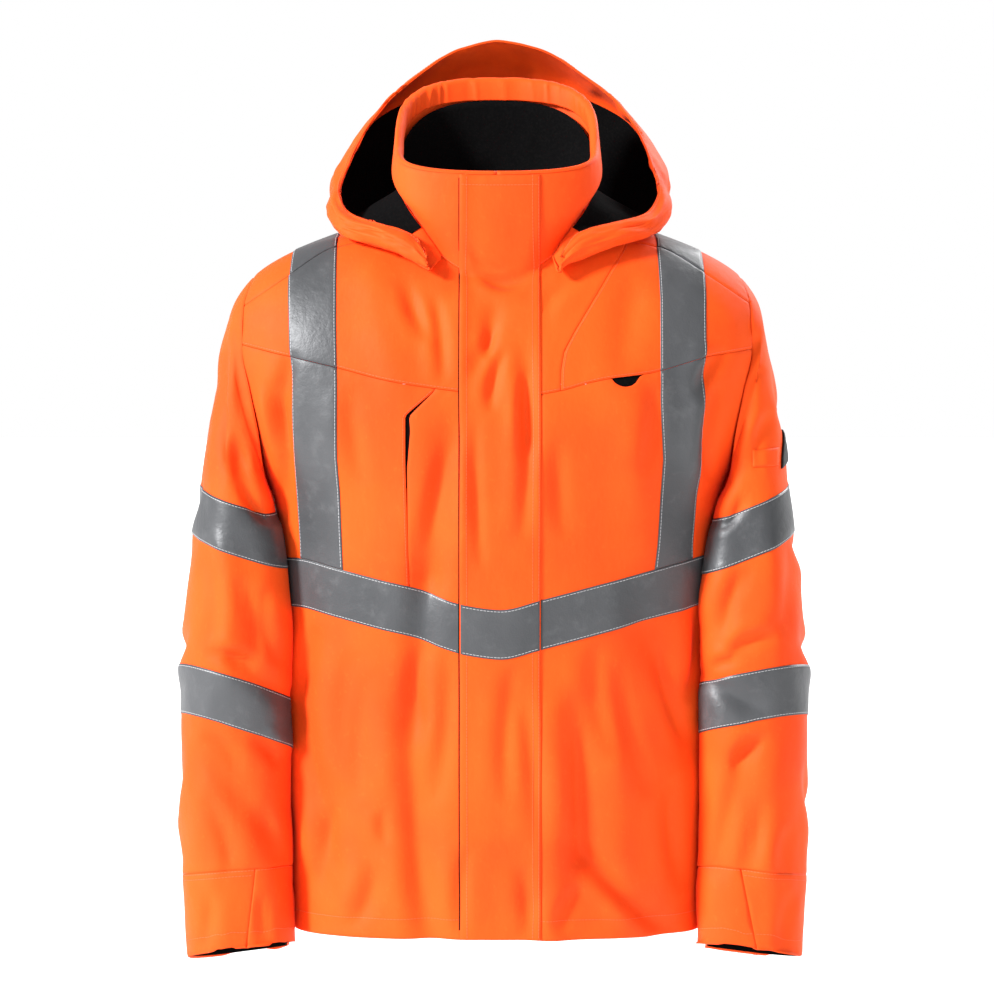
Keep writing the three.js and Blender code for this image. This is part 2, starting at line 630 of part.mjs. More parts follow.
piece('pocket_bag_right', bag(BAG_RIGHT), BLACK);
piece('pocket_bag_left', bag(BAG_LEFT), BLACK);
piece('yoke_right', torso.intersect(upperRight), ORANGE);
piece('yoke_left', torso.intersect(upperLeft).intersect(panelInner), ORANGE);
piece('chest_panel_left', torso.intersect(upperLeft).intersect(panelOuter), ORANGE);
const overShoulder = prism(between((x) => shoulderZ(x) + HALF_GAP, level(200), xs(-300, 300)), -FAR, 1);
const aboveBackSeam = prism(between(level(BACK_SEAM + HALF_GAP), level(200), [-300, 300]), 0, FAR);
const upperBack = overShoulder.add(aboveBackSeam);
const yokeEdge = SHOULDER_SPLIT - HALF_GAP;
const yokeMiddle = prism(boxCorners([-yokeEdge, -300, yokeEdge, 200]), -FAR, FAR);
const shoulderEnd = (side) => prism(
  boxCorners([side * (SHOULDER_SPLIT + HALF_GAP), -300, side * 300, 200]), -FAR, FAR);
piece('back_yoke', torso.intersect(upperBack).intersect(yokeMiddle), ORANGE);
piece('shoulder_right', torso.intersect(upperBack).intersect(shoulderEnd(-1)), ORANGE);
piece('shoulder_left', torso.intersect(upperBack).intersect(shoulderEnd(1)), ORANGE);
const bandBackMiddle = BAND_BACK_Z - BAND_DROP / 2;
const backUpper = back(level(bandBackMiddle + HALF_GAP), level(BACK_SEAM - HALF_GAP), -300, 300);
const backLower = back(level(-800), level(bandBackMiddle - HALF_GAP), -300, 300);
piece('back_upper', torso.intersect(backUpper), ORANGE);
piece('back', torso.intersect(backLower), ORANGE);

// Collar, with its lining and turned-in edge
piece('collar', wall(collarGrid, true, -CLOTH, 0), ORANGE);
const edgeRing = (r) => TURNS.map((turn) => collarEdge(turn, r.inward, r.up));
const edgeGrid = surface(COLLAR_EDGE.map(edgeRing), true);
piece('collar_edge', wall(edgeGrid, true, 0, COLLAR_EDGE_WALL), ORANGE);
const liningRows = COLLAR_LINING.map((r) => TURNS.map((turn) => {
  const rise = r.row === LINING_TOP ? LINING_RISE * behind(turn) : 0;
  return collarInside(turn, r.row + rise, r.inward);
}));
piece('collar_lining', wall(surface(liningRows, true), true, 0, -LINING), BLACK);

// Storm flap over the front opening, up to the collar edge
const flapWall = wall(flapGrid, true, LIFT, LIFT + FLAP);
const flapStrip = front(level(-800), level(300), FLAP_RIGHT, FLAP_LEFT);
piece('storm_flap', flapWall.intersect(flapStrip), ORANGE);

// Bands and braces
const tapeWall = wall(torsoGrid, true, LIFT, LIFT + TAPE).intersect(prism(torsoOutline, -FAR, FAR));
const flapTapeWall = wall(torsoGrid, true, 2 * LIFT + FLAP, 2 * LIFT + FLAP + TAPE);
piece('band_right', tapeWall.intersect(front(bandLow, bandTop, -300, FLAP_RIGHT - SEAM_GAP)), GREY);
piece('band_left', tapeWall.intersect(front(bandLow, bandTop, FLAP_LEFT + SEAM_GAP, 300)), GREY);
piece('band_flap', flapTapeWall.intersect(front(bandLow, bandTop, FLAP_RIGHT + 1, FLAP_LEFT - 1)), GREY);
const backStrip = back(level(BAND_BACK_Z - BAND_DROP), level(BAND_BACK_Z), -300, 300);
piece('band_back', tapeWall.intersect(backStrip), GREY);

for (const [name, side, key] of [['right', -1, 'Right'], ['left', 1, 'Left']]) {
  const bar = prism([
    ...BRACES.map((r) => [side * r[`outer${key}`], r.z]),
    ...BRACES.slice().reverse().map((r) => [side * r[`inner${key}`], r.z]),
  ], -FAR, FAR);
  const tape = tapeWall.intersect(bar);
  const [a, b] = side < 0 ? [-300, -100] : [100, 300];
  const lower = front((x) => bandTop(x) + SEAM_GAP, (x) => chestZ(x) - HALF_GAP, a, b);
  const upper = front((x) => chestZ(x) + HALF_GAP, (x) => shoulderZ(x) - HALF_GAP, a, b);
  piece(`brace_${name}_front`, tape.intersect(lower), GREY);
  piece(`brace_${name}_yoke`, tape.intersect(upper), GREY);
  piece(`brace_${name}_shoulder`, tape.intersect(upperBack), GREY);
  const behind = back(level(BAND_BACK_Z + SEAM_GAP), level(BACK_SEAM - HALF_GAP), a, b);
  piece(`brace_${name}_back`, tape.intersect(behind), GREY);
}

// Sleeves
const sleeveOutline = (side, push) => [
  ...armEdge(push).map(([x, z]) => [side * x, z]), [side * 120, UNDERARM - 0.5], [side * 120, -900],
  [side * 500, -900], [side * 500, 20],
];
// Sleeve cloth cut below each tape's middle line into upper arm, elbow and forearm
const cutAtBands = (cloth, side, bands) => {
  const line = (r, x, push) => (
    r.innerZ + ((x - r.innerX) * (r.outerZ - r.innerZ)) / (r.outerX - r.innerX) - TAPE_WIDTH / 2 + push);
  const above = bands.map((r) => prism([
    [side * 80, line(r, 80, HALF_GAP)], [side * 420, line(r, 420, HALF_GAP)],
    [side * 420, 200], [side * 80, 200],
  ], -FAR, FAR, r.lean));
  const below = bands.map((r) => prism([
    [side * 80, line(r, 80, -HALF_GAP)], [side * 420, line(r, 420, -HALF_GAP)],
    [side * 420, -1200], [side * 80, -1200],
  ], -FAR, FAR, r.lean));
  return [cloth.intersect(above[0]), cloth.intersect(below[0]).intersect(above[1]), cloth.intersect(below[1])];
};
for (const [name, side] of [['right', -1], ['left', 1]]) {
  const grid = sleeveGrid(side);
  const last = SLEEVE.length - 1;
  const trim = prism(sleeveOutline(side, HALF_GAP), -FAR, FAR);
  const upper = wall(slice(grid, 0, CUFF_ROW, 0, 0), true, -CLOTH, 0).intersect(trim);
  const bands = SLEEVE_BANDS.filter((r) => r.side === side);
  const [top, middle, low] = cutAtBands(upper, side, bands);
  piece(`sleeve_${name}`, top, ORANGE);
  piece(`sleeve_elbow_${name}`, middle, ORANGE);
  piece(`forearm_${name}`, low, ORANGE);
  const cuff = wall(slice(grid, CUFF_ROW, last, SEAM_GAP, 0), true, -CLOTH, 0);
  const split = CUFF_SPLIT.find((r) => r.side === side);
  const half = (push, far) => prism([
    [side * (split.topX + push), split.topZ], [side * (split.lowX + push), split.lowZ],
    [side * far, split.lowZ], [side * far, split.topZ],
  ], -FAR, FAR);
  piece(`cuff_${name}`, cuff.intersect(half(HALF_GAP, 500)), ORANGE);
  piece(`cuff_gusset_${name}`, cuff.intersect(half(-HALF_GAP, 120)), ORANGE);
  const inner = wall(slice(grid, CUFF_ROW, last, 12, 5), true, -CLOTH - 1 - LINING, -CLOTH - 1);
  piece(`inner_cuff_${name}`, inner, BLACK);
  const tape = wall(slice(grid, 4, CUFF_ROW, 0, 0), true, LIFT, LIFT + TAPE);
  bands.forEach((r, i) => {
    const outline = [
      [side * r.outerX, r.outerZ], [side * r.innerX, r.innerZ],
      [side * r.innerX, r.innerZ - TAPE_WIDTH], [side * r.outerX, r.outerZ - TAPE_WIDTH],
    ];
    const strap = tape.intersect(prism(outline, -FAR, FAR, r.lean));
    piece(`band_${i ? 'forearm' : 'arm'}_${name}`, strap, GREY);
  });
  if (side > 0) {
    const patchWall = wall(slice(grid, 3, 7, 0, 0), true, LIFT, LIFT + 0.8);
    const tabWall = wall(slice(grid, 3, 7, 0, 0), true, LIFT, LIFT + 2.2);
    const box = ({ left, right, top, low, back: behindY }) => (
      prism([[left, low], [right, low], [right, top], [left, top]], -FAR, behindY));
    piece('sleeve_patch_left', patchWall.intersect(box(SLEEVE_PATCH)), ORANGE);
    const tabBox = box(SLEEVE_TAB);
    piece('sleeve_tab_left', tabWall.intersect(tabBox), TAB_BLACK);
  }
}

// Hood in three panels, with its facing and lining
const HOOD_ACROSS = [...HALF_ACROSS.map((across) => -across).reverse(), 0, ...HALF_ACROSS];
const BELOW_FACING = [0.2, 0.4, 0.6, 0.8, 1];
const hoodDowns = (facing) => [
  0, 0.5 * facing, facing, ...BELOW_FACING.map((t) => facing + (4 - facing) * t),
];
const hoodGrid = surface(hoodDowns(1).map((_, i) => HOOD_ACROSS.map((across) => {
  const side = across < 0 ? -1 : 1;
  const { facing } = rowAt(HOOD, Math.abs(across));
  return hoodPoint(side, Math.abs(across), hoodDowns(facing)[i]);
})), false);
const middle = HOOD_STEPS;
const ends = 2 * HOOD_STEPS;
const panels = [['right', 0, middle - HOOD_PANEL], ['middle', middle - HOOD_PANEL, middle + HOOD_PANEL],
  ['left', middle + HOOD_PANEL, ends]];
for (const [name, from, to] of panels) {
  const rows = slice(hoodGrid, 0, NECK_STRIP_ROW, 0, HALF_GAP);
  const cloth = strip(rows, from, to, from ? SEAM_GAP : 0, to < ends ? SEAM_GAP : 0);
  piece(`hood_${name}`, wall(cloth, false, -HOOD_WALL, HOOD_WALL), ORANGE);
}
const neckRows = slice(hoodGrid, NECK_STRIP_ROW, hoodGrid.length - 1, NECK_STRIP_TRIM, 0);
piece('hood_neck', wall(neckRows, false, -HOOD_WALL, HOOD_WALL), ORANGE);
const inside = HOOD_WALL + LIFT;
const liningStrip = (rows) => strip(rows, middle - LINING_STEPS, middle + LINING_STEPS, 0, 0);
const facingGrid = liningStrip(slice(hoodGrid, 0, 2, 0.2, HALF_GAP));
const liningGrid = liningStrip(slice(hoodGrid, 2, 7, HALF_GAP, 1));
piece('hood_facing', wall(facingGrid, false, -inside - LINING, -inside), ORANGE);
piece('hood_lining', wall(liningGrid, false, -inside - LINING, -inside), BLACK);

// Scene group
const group = new THREE.Group();
for (const { name, body, color, roughness } of pieces) {
  const mesh = body.getMesh();
  const geometry = new THREE.BufferGeometry();
  const count = mesh.vertProperties.length / mesh.numProp;
  const positions = new Float32Array(count * 3);
  for (let i = 0; i < count; i += 1) {
    for (let k = 0; k < 3; k += 1) positions[i * 3 + k] = mesh.vertProperties[i * mesh.numProp + k];
  }
  geometry.setAttribute('position', new THREE.BufferAttribute(positions, 3));
  geometry.setIndex(Array.from(mesh.triVerts));
  const material = new THREE.MeshStandardMaterial({ color, roughness, metalness: 0 });
  const part = new THREE.Mesh(geometry, material);
  part.name = name;
  group.add(part);
}

export default group;
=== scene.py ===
import math

import bmesh
import bpy
import numpy as np
from mathutils import Matrix, Vector


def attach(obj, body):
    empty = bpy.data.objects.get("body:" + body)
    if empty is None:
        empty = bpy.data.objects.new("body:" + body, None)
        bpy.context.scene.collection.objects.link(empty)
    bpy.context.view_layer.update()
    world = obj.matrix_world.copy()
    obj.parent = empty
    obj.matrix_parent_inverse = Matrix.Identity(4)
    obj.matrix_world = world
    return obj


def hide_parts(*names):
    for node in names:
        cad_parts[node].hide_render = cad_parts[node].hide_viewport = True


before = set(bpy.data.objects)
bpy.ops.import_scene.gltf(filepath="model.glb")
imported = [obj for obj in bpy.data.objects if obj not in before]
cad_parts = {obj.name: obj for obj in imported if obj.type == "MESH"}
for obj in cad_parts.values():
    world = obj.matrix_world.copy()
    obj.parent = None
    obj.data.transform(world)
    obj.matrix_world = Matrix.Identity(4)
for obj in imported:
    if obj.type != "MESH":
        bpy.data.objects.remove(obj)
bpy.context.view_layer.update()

# Sizes in millimetres; the jacket's front faces -Y, the wearer's left is +X.
MM = 0.001
SHELL = 1.2
TAPE = 0.7
LIFT = 0.3
FLAP = 1.6
FLAP_LEFT = 42
FLAP_RIGHT = -36
FRONT_OPENING = 3
HALF_GAP = 0.15
CLEARANCE = 4.3
SEAM_CLEARANCE = 0.6
NECK_ROW = 17
COLLAR_ROW = 20
UNDERARM = -266
ARM_TOP = -44
CUFF_ROW = 12
SLEEVE_SHIFT = -2.5
BACK_SEAM = -168
BAND_BACK_Z = -326
BAND_DROP = 48.5
TAPE_WIDTH = 50
HOOD_ROOT = 2.0
CLOTH_IN = 2.7
GRID = 3.6
CREASING = 3.1


class Table:
    """Rows of named sizes, read smoothly between the rows."""

    def __init__(self, names, rows):
        self.names = names.split()
        self.rows = np.array(rows, dtype=float)
        step = np.diff(self.rows, axis=0)
        before, after = step[:-1], step[1:]
        same_way = before * after > 0
        both = np.where(same_way, before + after, 1.0)
        middle = np.where(same_way, 2 * before * after / both, 0.0)
        end = np.zeros((1, self.rows.shape[1]))
        self.slopes = np.vstack([end, middle, end])

    def read(self, at, names):
        columns = [self.names.index(name) for name in names.split()]
        at = np.asarray(at, dtype=float)
        i = np.clip(np.floor(at).astype(int), 0, len(self.rows) - 2)
        t = (at - i)[..., None]
        rows, slopes = self.rows[:, columns], self.slopes[:, columns]
        t2, t3 = t * t, t * t * t
        value = (2 * t3 - 3 * t2 + 1) * rows[i] + (t3 - 2 * t2 + t) * slopes[i]
        value = value + (3 * t2 - 2 * t3) * rows[i + 1] + (t3 - t2) * slopes[i + 1]
        return [value[..., k] for k in range(len(columns))]


# Body rings from hem to neck, then the stand collar
BODY = Table(
    "side_z front_z back_z half_width front back fullness corner roll",
    [
        [-702, -694, -700, 206, 127, 122, 0.74, 1.00, 1.6],
        [-615, -612, -615, 210, 130, 125, 0.79, 1.00, 1.6],
        [-525, -525, -525, 213, 133, 128, 0.80, 1.00, 1.6],
        [-445, -445, -445, 214, 134, 129, 0.80, 1.00, 1.6],
        [-375, -375, -375, 215, 135, 130, 0.80, 1.00, 1.6],
        [-315, -317, -315, 217, 136, 131, 0.80, 1.00, 1.6],
        [-268, -272, -268, 223, 137, 133, 0.80, 1.00, 1.6],
        [-232, -238, -232, 238, 137, 134, 0.80, 1.00, 1.6],
        [-196, -210, -196, 254, 136, 135, 0.80, 1.00, 1.6],
        [-158, -182, -158, 265, 134, 135, 0.80, 1.00, 1.6],
        [-120, -153, -118, 269, 130, 132, 0.80, 1.00, 1.6],
        [-88, -127, -76, 265, 124, 126, 0.80, 1.00, 1.6],
        [-64, -108, -46, 252, 117, 119, 0.80, 1.00, 1.6],
        [-47, -94, -24, 236, 110, 111, 0.80, 1.00, 1.6],
        [-33, -83, -7, 214, 104, 104, 0.80, 1.00, 1.6],
        [-19, -71, 9, 180, 97, 96, 0.80, 1.00, 1.6],
        [-5, -59, 28, 124, 87, 85, 0.78, 0.98, 1.6],
        [8, -50, 40, 80, 79, 77, 0.74, 0.95, 1.5],
        [33, -22, 70, 92, 79, 84, 0.70, 0.90, 1.3],
        [56, 8, 98, 104, 78, 92, 0.65, 0.86, 0.9],
        [78, 50, 141, 101, 72, 100, 0.60, 0.80, 0.5],
    ],
)

# Sleeve rings from the armhole to the cuff hem
SLEEVE = Table(
    "outer_x outer_z inner_x inner_z mid_y depth pitch blend",
    [
        [236, -46, 223, -266, 0, 62, 0.00, 1.00],
        [251, -61, 224, -268, 0, 64, 0.00, 0.80],
        [262, -80, 224, -270, 0, 68, 0.00, 0.45],
        [268, -106, 223, -273, 0, 72, 0.00, 0.15],
        [276, -148, 219, -278, -1, 76, 0.00, 0.00],
        [284, -200, 213, -286, -5, 79, 0.00, 0.00],
        [292, -254, 204, -303, -9, 80, 0.00, 0.00],
        [299, -312, 198, -336, -13, 80, 0.00, 0.00],
        [306, -366, 195, -377, -16, 79, 0.02, 0.00],
        [311, -425, 195, -430, -18, 77, 0.04, 0.00],
        [312, -485, 195, -486, -21, 74, 0.07, 0.00],
        [313, -565, 196, -560, -24, 68, 0.13, 0.00],
        [312, -649, 197, -640, -30, 61, 0.20, 0.00],
        [308, -731, 198, -717, -38, 53, 0.28, 0.00],
    ],
)

# Hood hanging open on the back, from the middle of the back to the front tip
HOOD = Table(
    "brim_x brim_y brim_z crown_x crown_y crown_z belly_x belly_y belly_z "
    "low_x low_y low_z turn row facing skew",
    [
        [0, 148, 185, 0, 186, 156, 0, 206, 70, 0, 172, -34, 180, 18.0, 1.30, 0],
        [40, 146, 176, 48, 181, 147, 52, 199, 66, 46, 166, -32, 158, 18.0, 1.25, 3],
        [78, 137, 152, 92, 167, 126, 98, 180, 58, 84, 152, -22, 136, 18.0, 1.10, 7],
        [112, 116, 122, 130, 138, 98, 137, 146, 44, 116, 122, -6, 116, 18.0, 1.00, 10],
        [136, 84, 89, 154, 96, 70, 161, 98, 32, 140, 84, 4, 100, 18.0, 1.00, 9],
        [148, 48, 62, 163, 50, 48, 168, 48, 24, 152, 42, 2, 84, 18.1, 1.05, 7],
        [156, 12, 34, 165, 6, 28, 167, -2, 13, 154, -8, -5, 70, 18.0, 1.10, 4],
        [146, -26, 13, 153, -34, 8, 153, -40, -2, 142, -42, -12, 56, 17.8, 1.10, 2],
        [112, -54, 2, 118, -63, -3, 117, -67, -12, 106, -64, -22, 54, 17.7, 1.10, -1],
        [80, -69, -9, 84, -79, -14, 83, -84, -24, 75, -81, -36, 46, 17.4, 1.10, -4],
        [68, -85, -29, 69, -87, -31, 68, -90, -36, 65, -88, -42, 40, 17.1, 1.10, -6],
    ],
)
# The same row on the other side comes first, so that the hood runs on over its middle
across_middle = HOOD.rows[1] * [-1, 1, 1, -1, 1, 1, -1, 1, 1, -1, 1, 1, -1, 1, 1, -1]
across_middle[12] += 360
HOOD = Table(" ".join(HOOD.names), np.vstack([across_middle, HOOD.rows]))

# Seams seen from the front: x and z
ARMHOLE = [
    [236, -20], [240, -47], [249, -80], [250, -120], [242, -160], [233, -205], [229, -240], [223.5, -266],
]
CHEST_RIGHT = [[-270, -112], [-247, -116.5], [-155, -135], [-98, -148.5], [3, -161]]
CHEST_LEFT = [[3, -165], [62, -156], [90, -148.5], [112, -144.5], [147, -140.5], [209, -125], [270, -118]]
SHOULDER_RIGHT = [[-270, -92], [-250, -79], [-203, -48], [-160, -22], [-118, -13], [-60, 2]]
SHOULDER_LEFT = [[60, 2], [118, -13], [160, -22], [203, -46], [250, -77], [270, -90]]
CHEST_PANEL = [[128, 6], [125, -20], [100, -60], [76, -98], [65, -118], [62, -135], [61, -170]]
BAND_FRONT = [
    [-260, -329], [-213, -327], [-192, -325], [-152, -331.5], [-113, -340], [-94, -344], [-55, -356.5],
    [-35, -362], [4, -367], [41, -358.5], [80, -349], [119, -340], [158, -331], [179, -327], [208, -323],
    [260, -322],
]
POCKET_SEAM = [[-60, -140], [-60, -156], [-88, -180], [-88, -195], [-88, -226], [-86, -300], [-83, -800]]
POCKET_MOUTH = [[-60, -140], [-60, -156], [-84.5, -180.5], [-83.5, -195], [-86.5, -232], [-86, -300], [-83, -800]]
MOON = [[111, -143], [113, -148.5], [118, -152], [124, -153], [130, -151.5], [136, -147], [139, -140]]
SLEEVE_BANDS = {
    ("right", "arm"): (320, -249, 200, -288, 0.0),
    ("right", "forearm"): (330, -438, 190, -484, -0.24),
    ("left", "arm"): (320, -244, 190, -296, 0.0),
    ("left", "forearm"): (330, -441, 180, -469, -0.24),
}
CUFF_SPLIT = {"right": [[252, -750], [234, -600]], "left": [[265, -750], [234, -600]]}

# Edges of the shoulder tapes: height, then x of the outer and inner edge on each side
BRACES = Table(
    "z outer_right inner_right outer_left inner_left",
    [
        [-360, 192, 148, 192, 151],
        [-311, 194, 150, 191, 154],
        [-262, 196.5, 152, 194, 157],
        [-224, 199.5, 154, 199.5, 160],
        [-165, 199.5, 154, 202.5, 158],
        [-70, 203.5, 156, 203.5, 158.5],
        [-25, 205, 157, 203, 157],
        [120, 205, 157, 203, 157],
    ],
)

# Largest soft folds of the body: face x1 z1 x2 z2 width depth
BODY_FOLDS = [
    [-1, -46, -205, -66, -330, 17, -7],
    [-1, -70, -345, -80, -470, 16, -9],
    [-1, -80, -470, -64, -690, 18, -7],
    [-1, 78, -470, 84, -610, 15, -6],
    [-1, 84, -610, 165, -690, 13, -6],
    [-1, 54, -480, 52, -690, 17, 5],
    [-1, 118, -520, 124, -650, 20, 5],
    [-1, 148, -400, 186, -505, 16, -6],
    [-1, 27, -130, 27, -205, 11, -4],
    [-1, -5, -90, -16, -128, 9, -4],
    [-1, 120, -160, 145, -300, 22, 4],
    [-1, -158, -560, -172, -640, 15, -4],
    [-1, -105, -560, -102, -600, 12, -3],
    [-1, -120, -60, -100, -140, 20, 4],
    [-1, 130, -70, 122, -120, 16, -4],
    [1, -60, -200, -80, -420, 24, -7],
    [1, 70, -180, 92, -460, 22, -8],
    [1, 10, -420, -14, -690, 26, 6],
    [1, 120, -480, 134, -690, 20, -7],
    [1, -126, -440, -118, -690, 22, -7],
    [1, -150, -220, -170, -330, 18, 5],
]

# Largest folds of the sleeves: side face x1 z1 x2 z2 width depth
SLEEVE_FOLDS = [
    [-1, -1, 258, -115, 252, -225, 10, -5],
    [-1, -1, 252, -225, 232, -280, 10, -6],
    [-1, -1, 250, -425, 208, -462, 11, -7],
    [-1, -1, 271, -535, 228, -590, 12, -5],
    [-1, -1, 228, -590, 206, -640, 10, -5],
    [-1, -1, 268, -330, 262, -430, 16, 4],
    [1, -1, 254, -117, 226, -150, 9, -7],
    [1, -1, 246, -465, 206, -442, 11, -7],
    [1, -1, 243, -513, 219, -625, 12, -6],
    [1, -1, 262, -215, 240, -300, 18, -4],
    [1, -1, 275, -540, 270, -630, 15, 4],
    [-1, 1, 262, -180, 246, -300, 16, -5],
    [-1, 1, 280, -400, 225, -450, 12, -6],
    [-1, 1, 276, -480, 240, -520, 13, 4],
    [1, 1, 262, -170, 244, -290, 17, -5],
    [1, 1, 278, -395, 224, -440, 12, -6],
    [1, 1, 270, -560, 250, -630, 13, -4],
]

# Smaller creases of the body: face x1 z1 x2 z2 bend width depth ridge
BODY_CREASES = [
    [-1, -24, -36, 34, -52, 12, 5, -1.6, 0.5],
    [-1, -2, -92, -9, -126, 2, 5, -1.4, 0.5],
    [-1, 28, -136, 27, -211, 2, 5, -1.4, 0.5],
    [-1, -47, -205, -67, -312, 3, 7, -1.2, 0.5],
    [-1, -73, -400, -84, -470, 3, 7, -1.2, 0.5],
    [-1, -86, -466, -70, -700, 5, 10, -1.9, 0.7],
    [-1, -128, -430, -134, -560, 5, 10, -1.5, 0.6],
    [-1, -186, -470, -158, -640, 6, 10, -1.6, 0.6],
    [-1, 118, -420, 150, -560, 5, 10, -1.6, 0.6],
    [-1, 22, -440, 40, -600, -4, 9, -1.3, 0.5],
    [-1, 80, -480, 86, -622, 4, 7, -1.3, 0.5],
    [-1, 86, -610, 164, -692, 3, 7, -1.7, 0.6],
    [-1, 157, -405, 191, -512, 3, 7, -1.7, 0.5],
    [-1, -162, -565, -176, -645, 3, 7, -1.3, 0.5],
    [-1, -112, -565, -108, -602, 2, 6, -1.2, 0.5],
    [-1, -26, -20, 10, -44, 6, 4, -1.0, 0.4],
    [-1, 44, -80, 92, -40, -6, 7, -1.6, 0.4],
    [-1, 48, -50, 78, -30, -4, 5, -1.3, 0.4],
    [-1, -92, -32, -64, -110, 5, 7, -1.8, 0.4],
    [-1, -62, -60, -52, -150, -3, 6, -1.4, 0.5],
    [-1, 8, -116, -6, -176, 4, 6, -1.8, 0.5],
    [-1, 30, -126, 24, -300, -3, 7, -1.6, 0.6],
    [-1, -20, -180, -14, -330, 3, 6, -1.4, 0.5],
    [-1, 60, -200, 66, -300, 4, 9, -1.4, 0.5],
    [-1, -196, -120, -212, -220, 6, 8, -2.0, 0.5],
    [-1, -222, -150, -206, -262, -6, 7, -2.4, 0.6],
    [-1, 216, -150, 206, -250, 6, 7, -2.2, 0.6],
    [-1, 222, -118, 196, -170, 6, 8, -2.0, 0.5],
    [-1, 152, -150, 140, -240, -5, 9, -1.4, 0.5],
    [-1, -140, -150, -128, -250, 5, 9, -1.2, 0.5],
    [-1, -176, -390, -196, -520, 8, 10, -2.2, 0.5],
    [-1, -140, -410, -150, -540, 6, 11, -1.6, 0.5],
    [-1, -50, -400, -60, -560, -5, 10, -1.8, 0.6],
    [-1, 16, -420, 10, -560, 4, 9, -1.5, 0.5],
    [-1, 196, -370, 188, -470, -6, 8, -2.2, 0.5],
    [-1, 96, -400, 116, -520, 8, 10, -1.7, 0.5],
    [-1, 172, -540, 186, -660, 6, 10, -2.0, 0.5],
    [-1, -120, -620, -146, -690, -6, 9, -1.6, 0.5],
    [-1, -30, -600, -34, -690, 3, 8, -1.4, 0.5],
    [-1, 24, -620, 30, -690, -3, 8, -1.2, 0.5],
    [-1, 84, -640, 60, -690, 5, 8, -1.4, 0.5],
    [1, -190, -120, -214, -230, 8, 9, -2.2, 0.5],
    [1, 196, -116, 216, -236, -8, 9, -2.4, 0.5],
    [1, -40, -60, 44, -66, 12, 9, -1.6, 0.4],
    [1, 120, -90, 90, -150, 6, 10, -1.8, 0.5],
    [1, -110, -80, -96, -152, -6, 10, -1.6, 0.5],
    [1, -30, -190, -22, -318, 6, 10, -1.6, 0.5],
    [1, 30, -200, 50, -312, 6, 11, -1.4, 0.5],
    [1, 130, -200, 160, -300, -8, 10, -2.2, 0.5],
    [1, -176, -380, -190, -520, 8, 10, -2.0, 0.5],
    [1, 176, -386, 196, -500, -8, 10, -2.2, 0.5],
    [1, 60, -400, 44, -600, 8, 12, -1.8, 0.5],
    [1, -60, -470, -50, -660, -8, 12, -1.6, 0.5],
    [1, -10, -560, 20, -680, 6, 10, -1.4, 0.5],
    [1, 150, -560, 160, -680, 6, 9, -1.6, 0.5],
    [1, -160, -590, -150, -690, 6, 9, -1.5, 0.5],
]

# Creases of the sleeves' outer sides: side y1 z1 y2 z2 bend width depth ridge
OUTER_CREASES = [
    [-1, 30, -120, -30, -190, 8, 12, -1.4, 0.5],
    [-1, -50, -250, 20, -300, 8, 11, -1.6, 0.5],
    [-1, -70, -395, 20, -425, 10, 11, -1.9, 0.6],
    [-1, 40, -380, -30, -440, -8, 10, -1.8, 0.5],
    [-1, -50, -520, 10, -600, 8, 12, -1.5, 0.5],
    [-1, 20, -560, -40, -640, -8, 11, -1.3, 0.5],
    [1, 40, -130, -20, -200, -8, 12, -1.5, 0.5],
    [1, -40, -150, 10, -230, 8, 11, -1.3, 0.5],
    [1, -60, -300, 30, -330, 10, 10, -1.5, 0.5],
    [1, -70, -400, 30, -428, 10, 11, -1.9, 0.6],
    [1, 50, -390, -20, -430, -8, 10, -1.7, 0.5],
    [1, -60, -530, 0, -610, 8, 12, -1.5, 0.5],
    [1, 20, -520, -30, -600, -8, 11, -1.3, 0.5],
]

# Creases of the hood: place across and down, twice, in steps of the hood's table times 30
HOOD_CREASES = [
    [-30, 24, -24, 84, 5, 9, -1.1, 0.5],
    [26, 20, 34, 90, -5, 9, -1.2, 0.5],
    [-120, 30, -70, 70, 8, 9, -1.3, 0.5],
    [118, 26, 74, 72, -8, 9, -1.3, 0.5],
    [-180, 20, -150, 84, 6, 8, -1.1, 0.5],
    [176, 24, 150, 80, -6, 8, -1.2, 0.5],
    [-240, 26, -214, 78, 5, 8, -1.0, 0.5],
    [236, 22, 210, 76, -5, 8, -1.0, 0.5],
    [-60, 60, 40, 72, 6, 8, -0.9, 0.4],
]

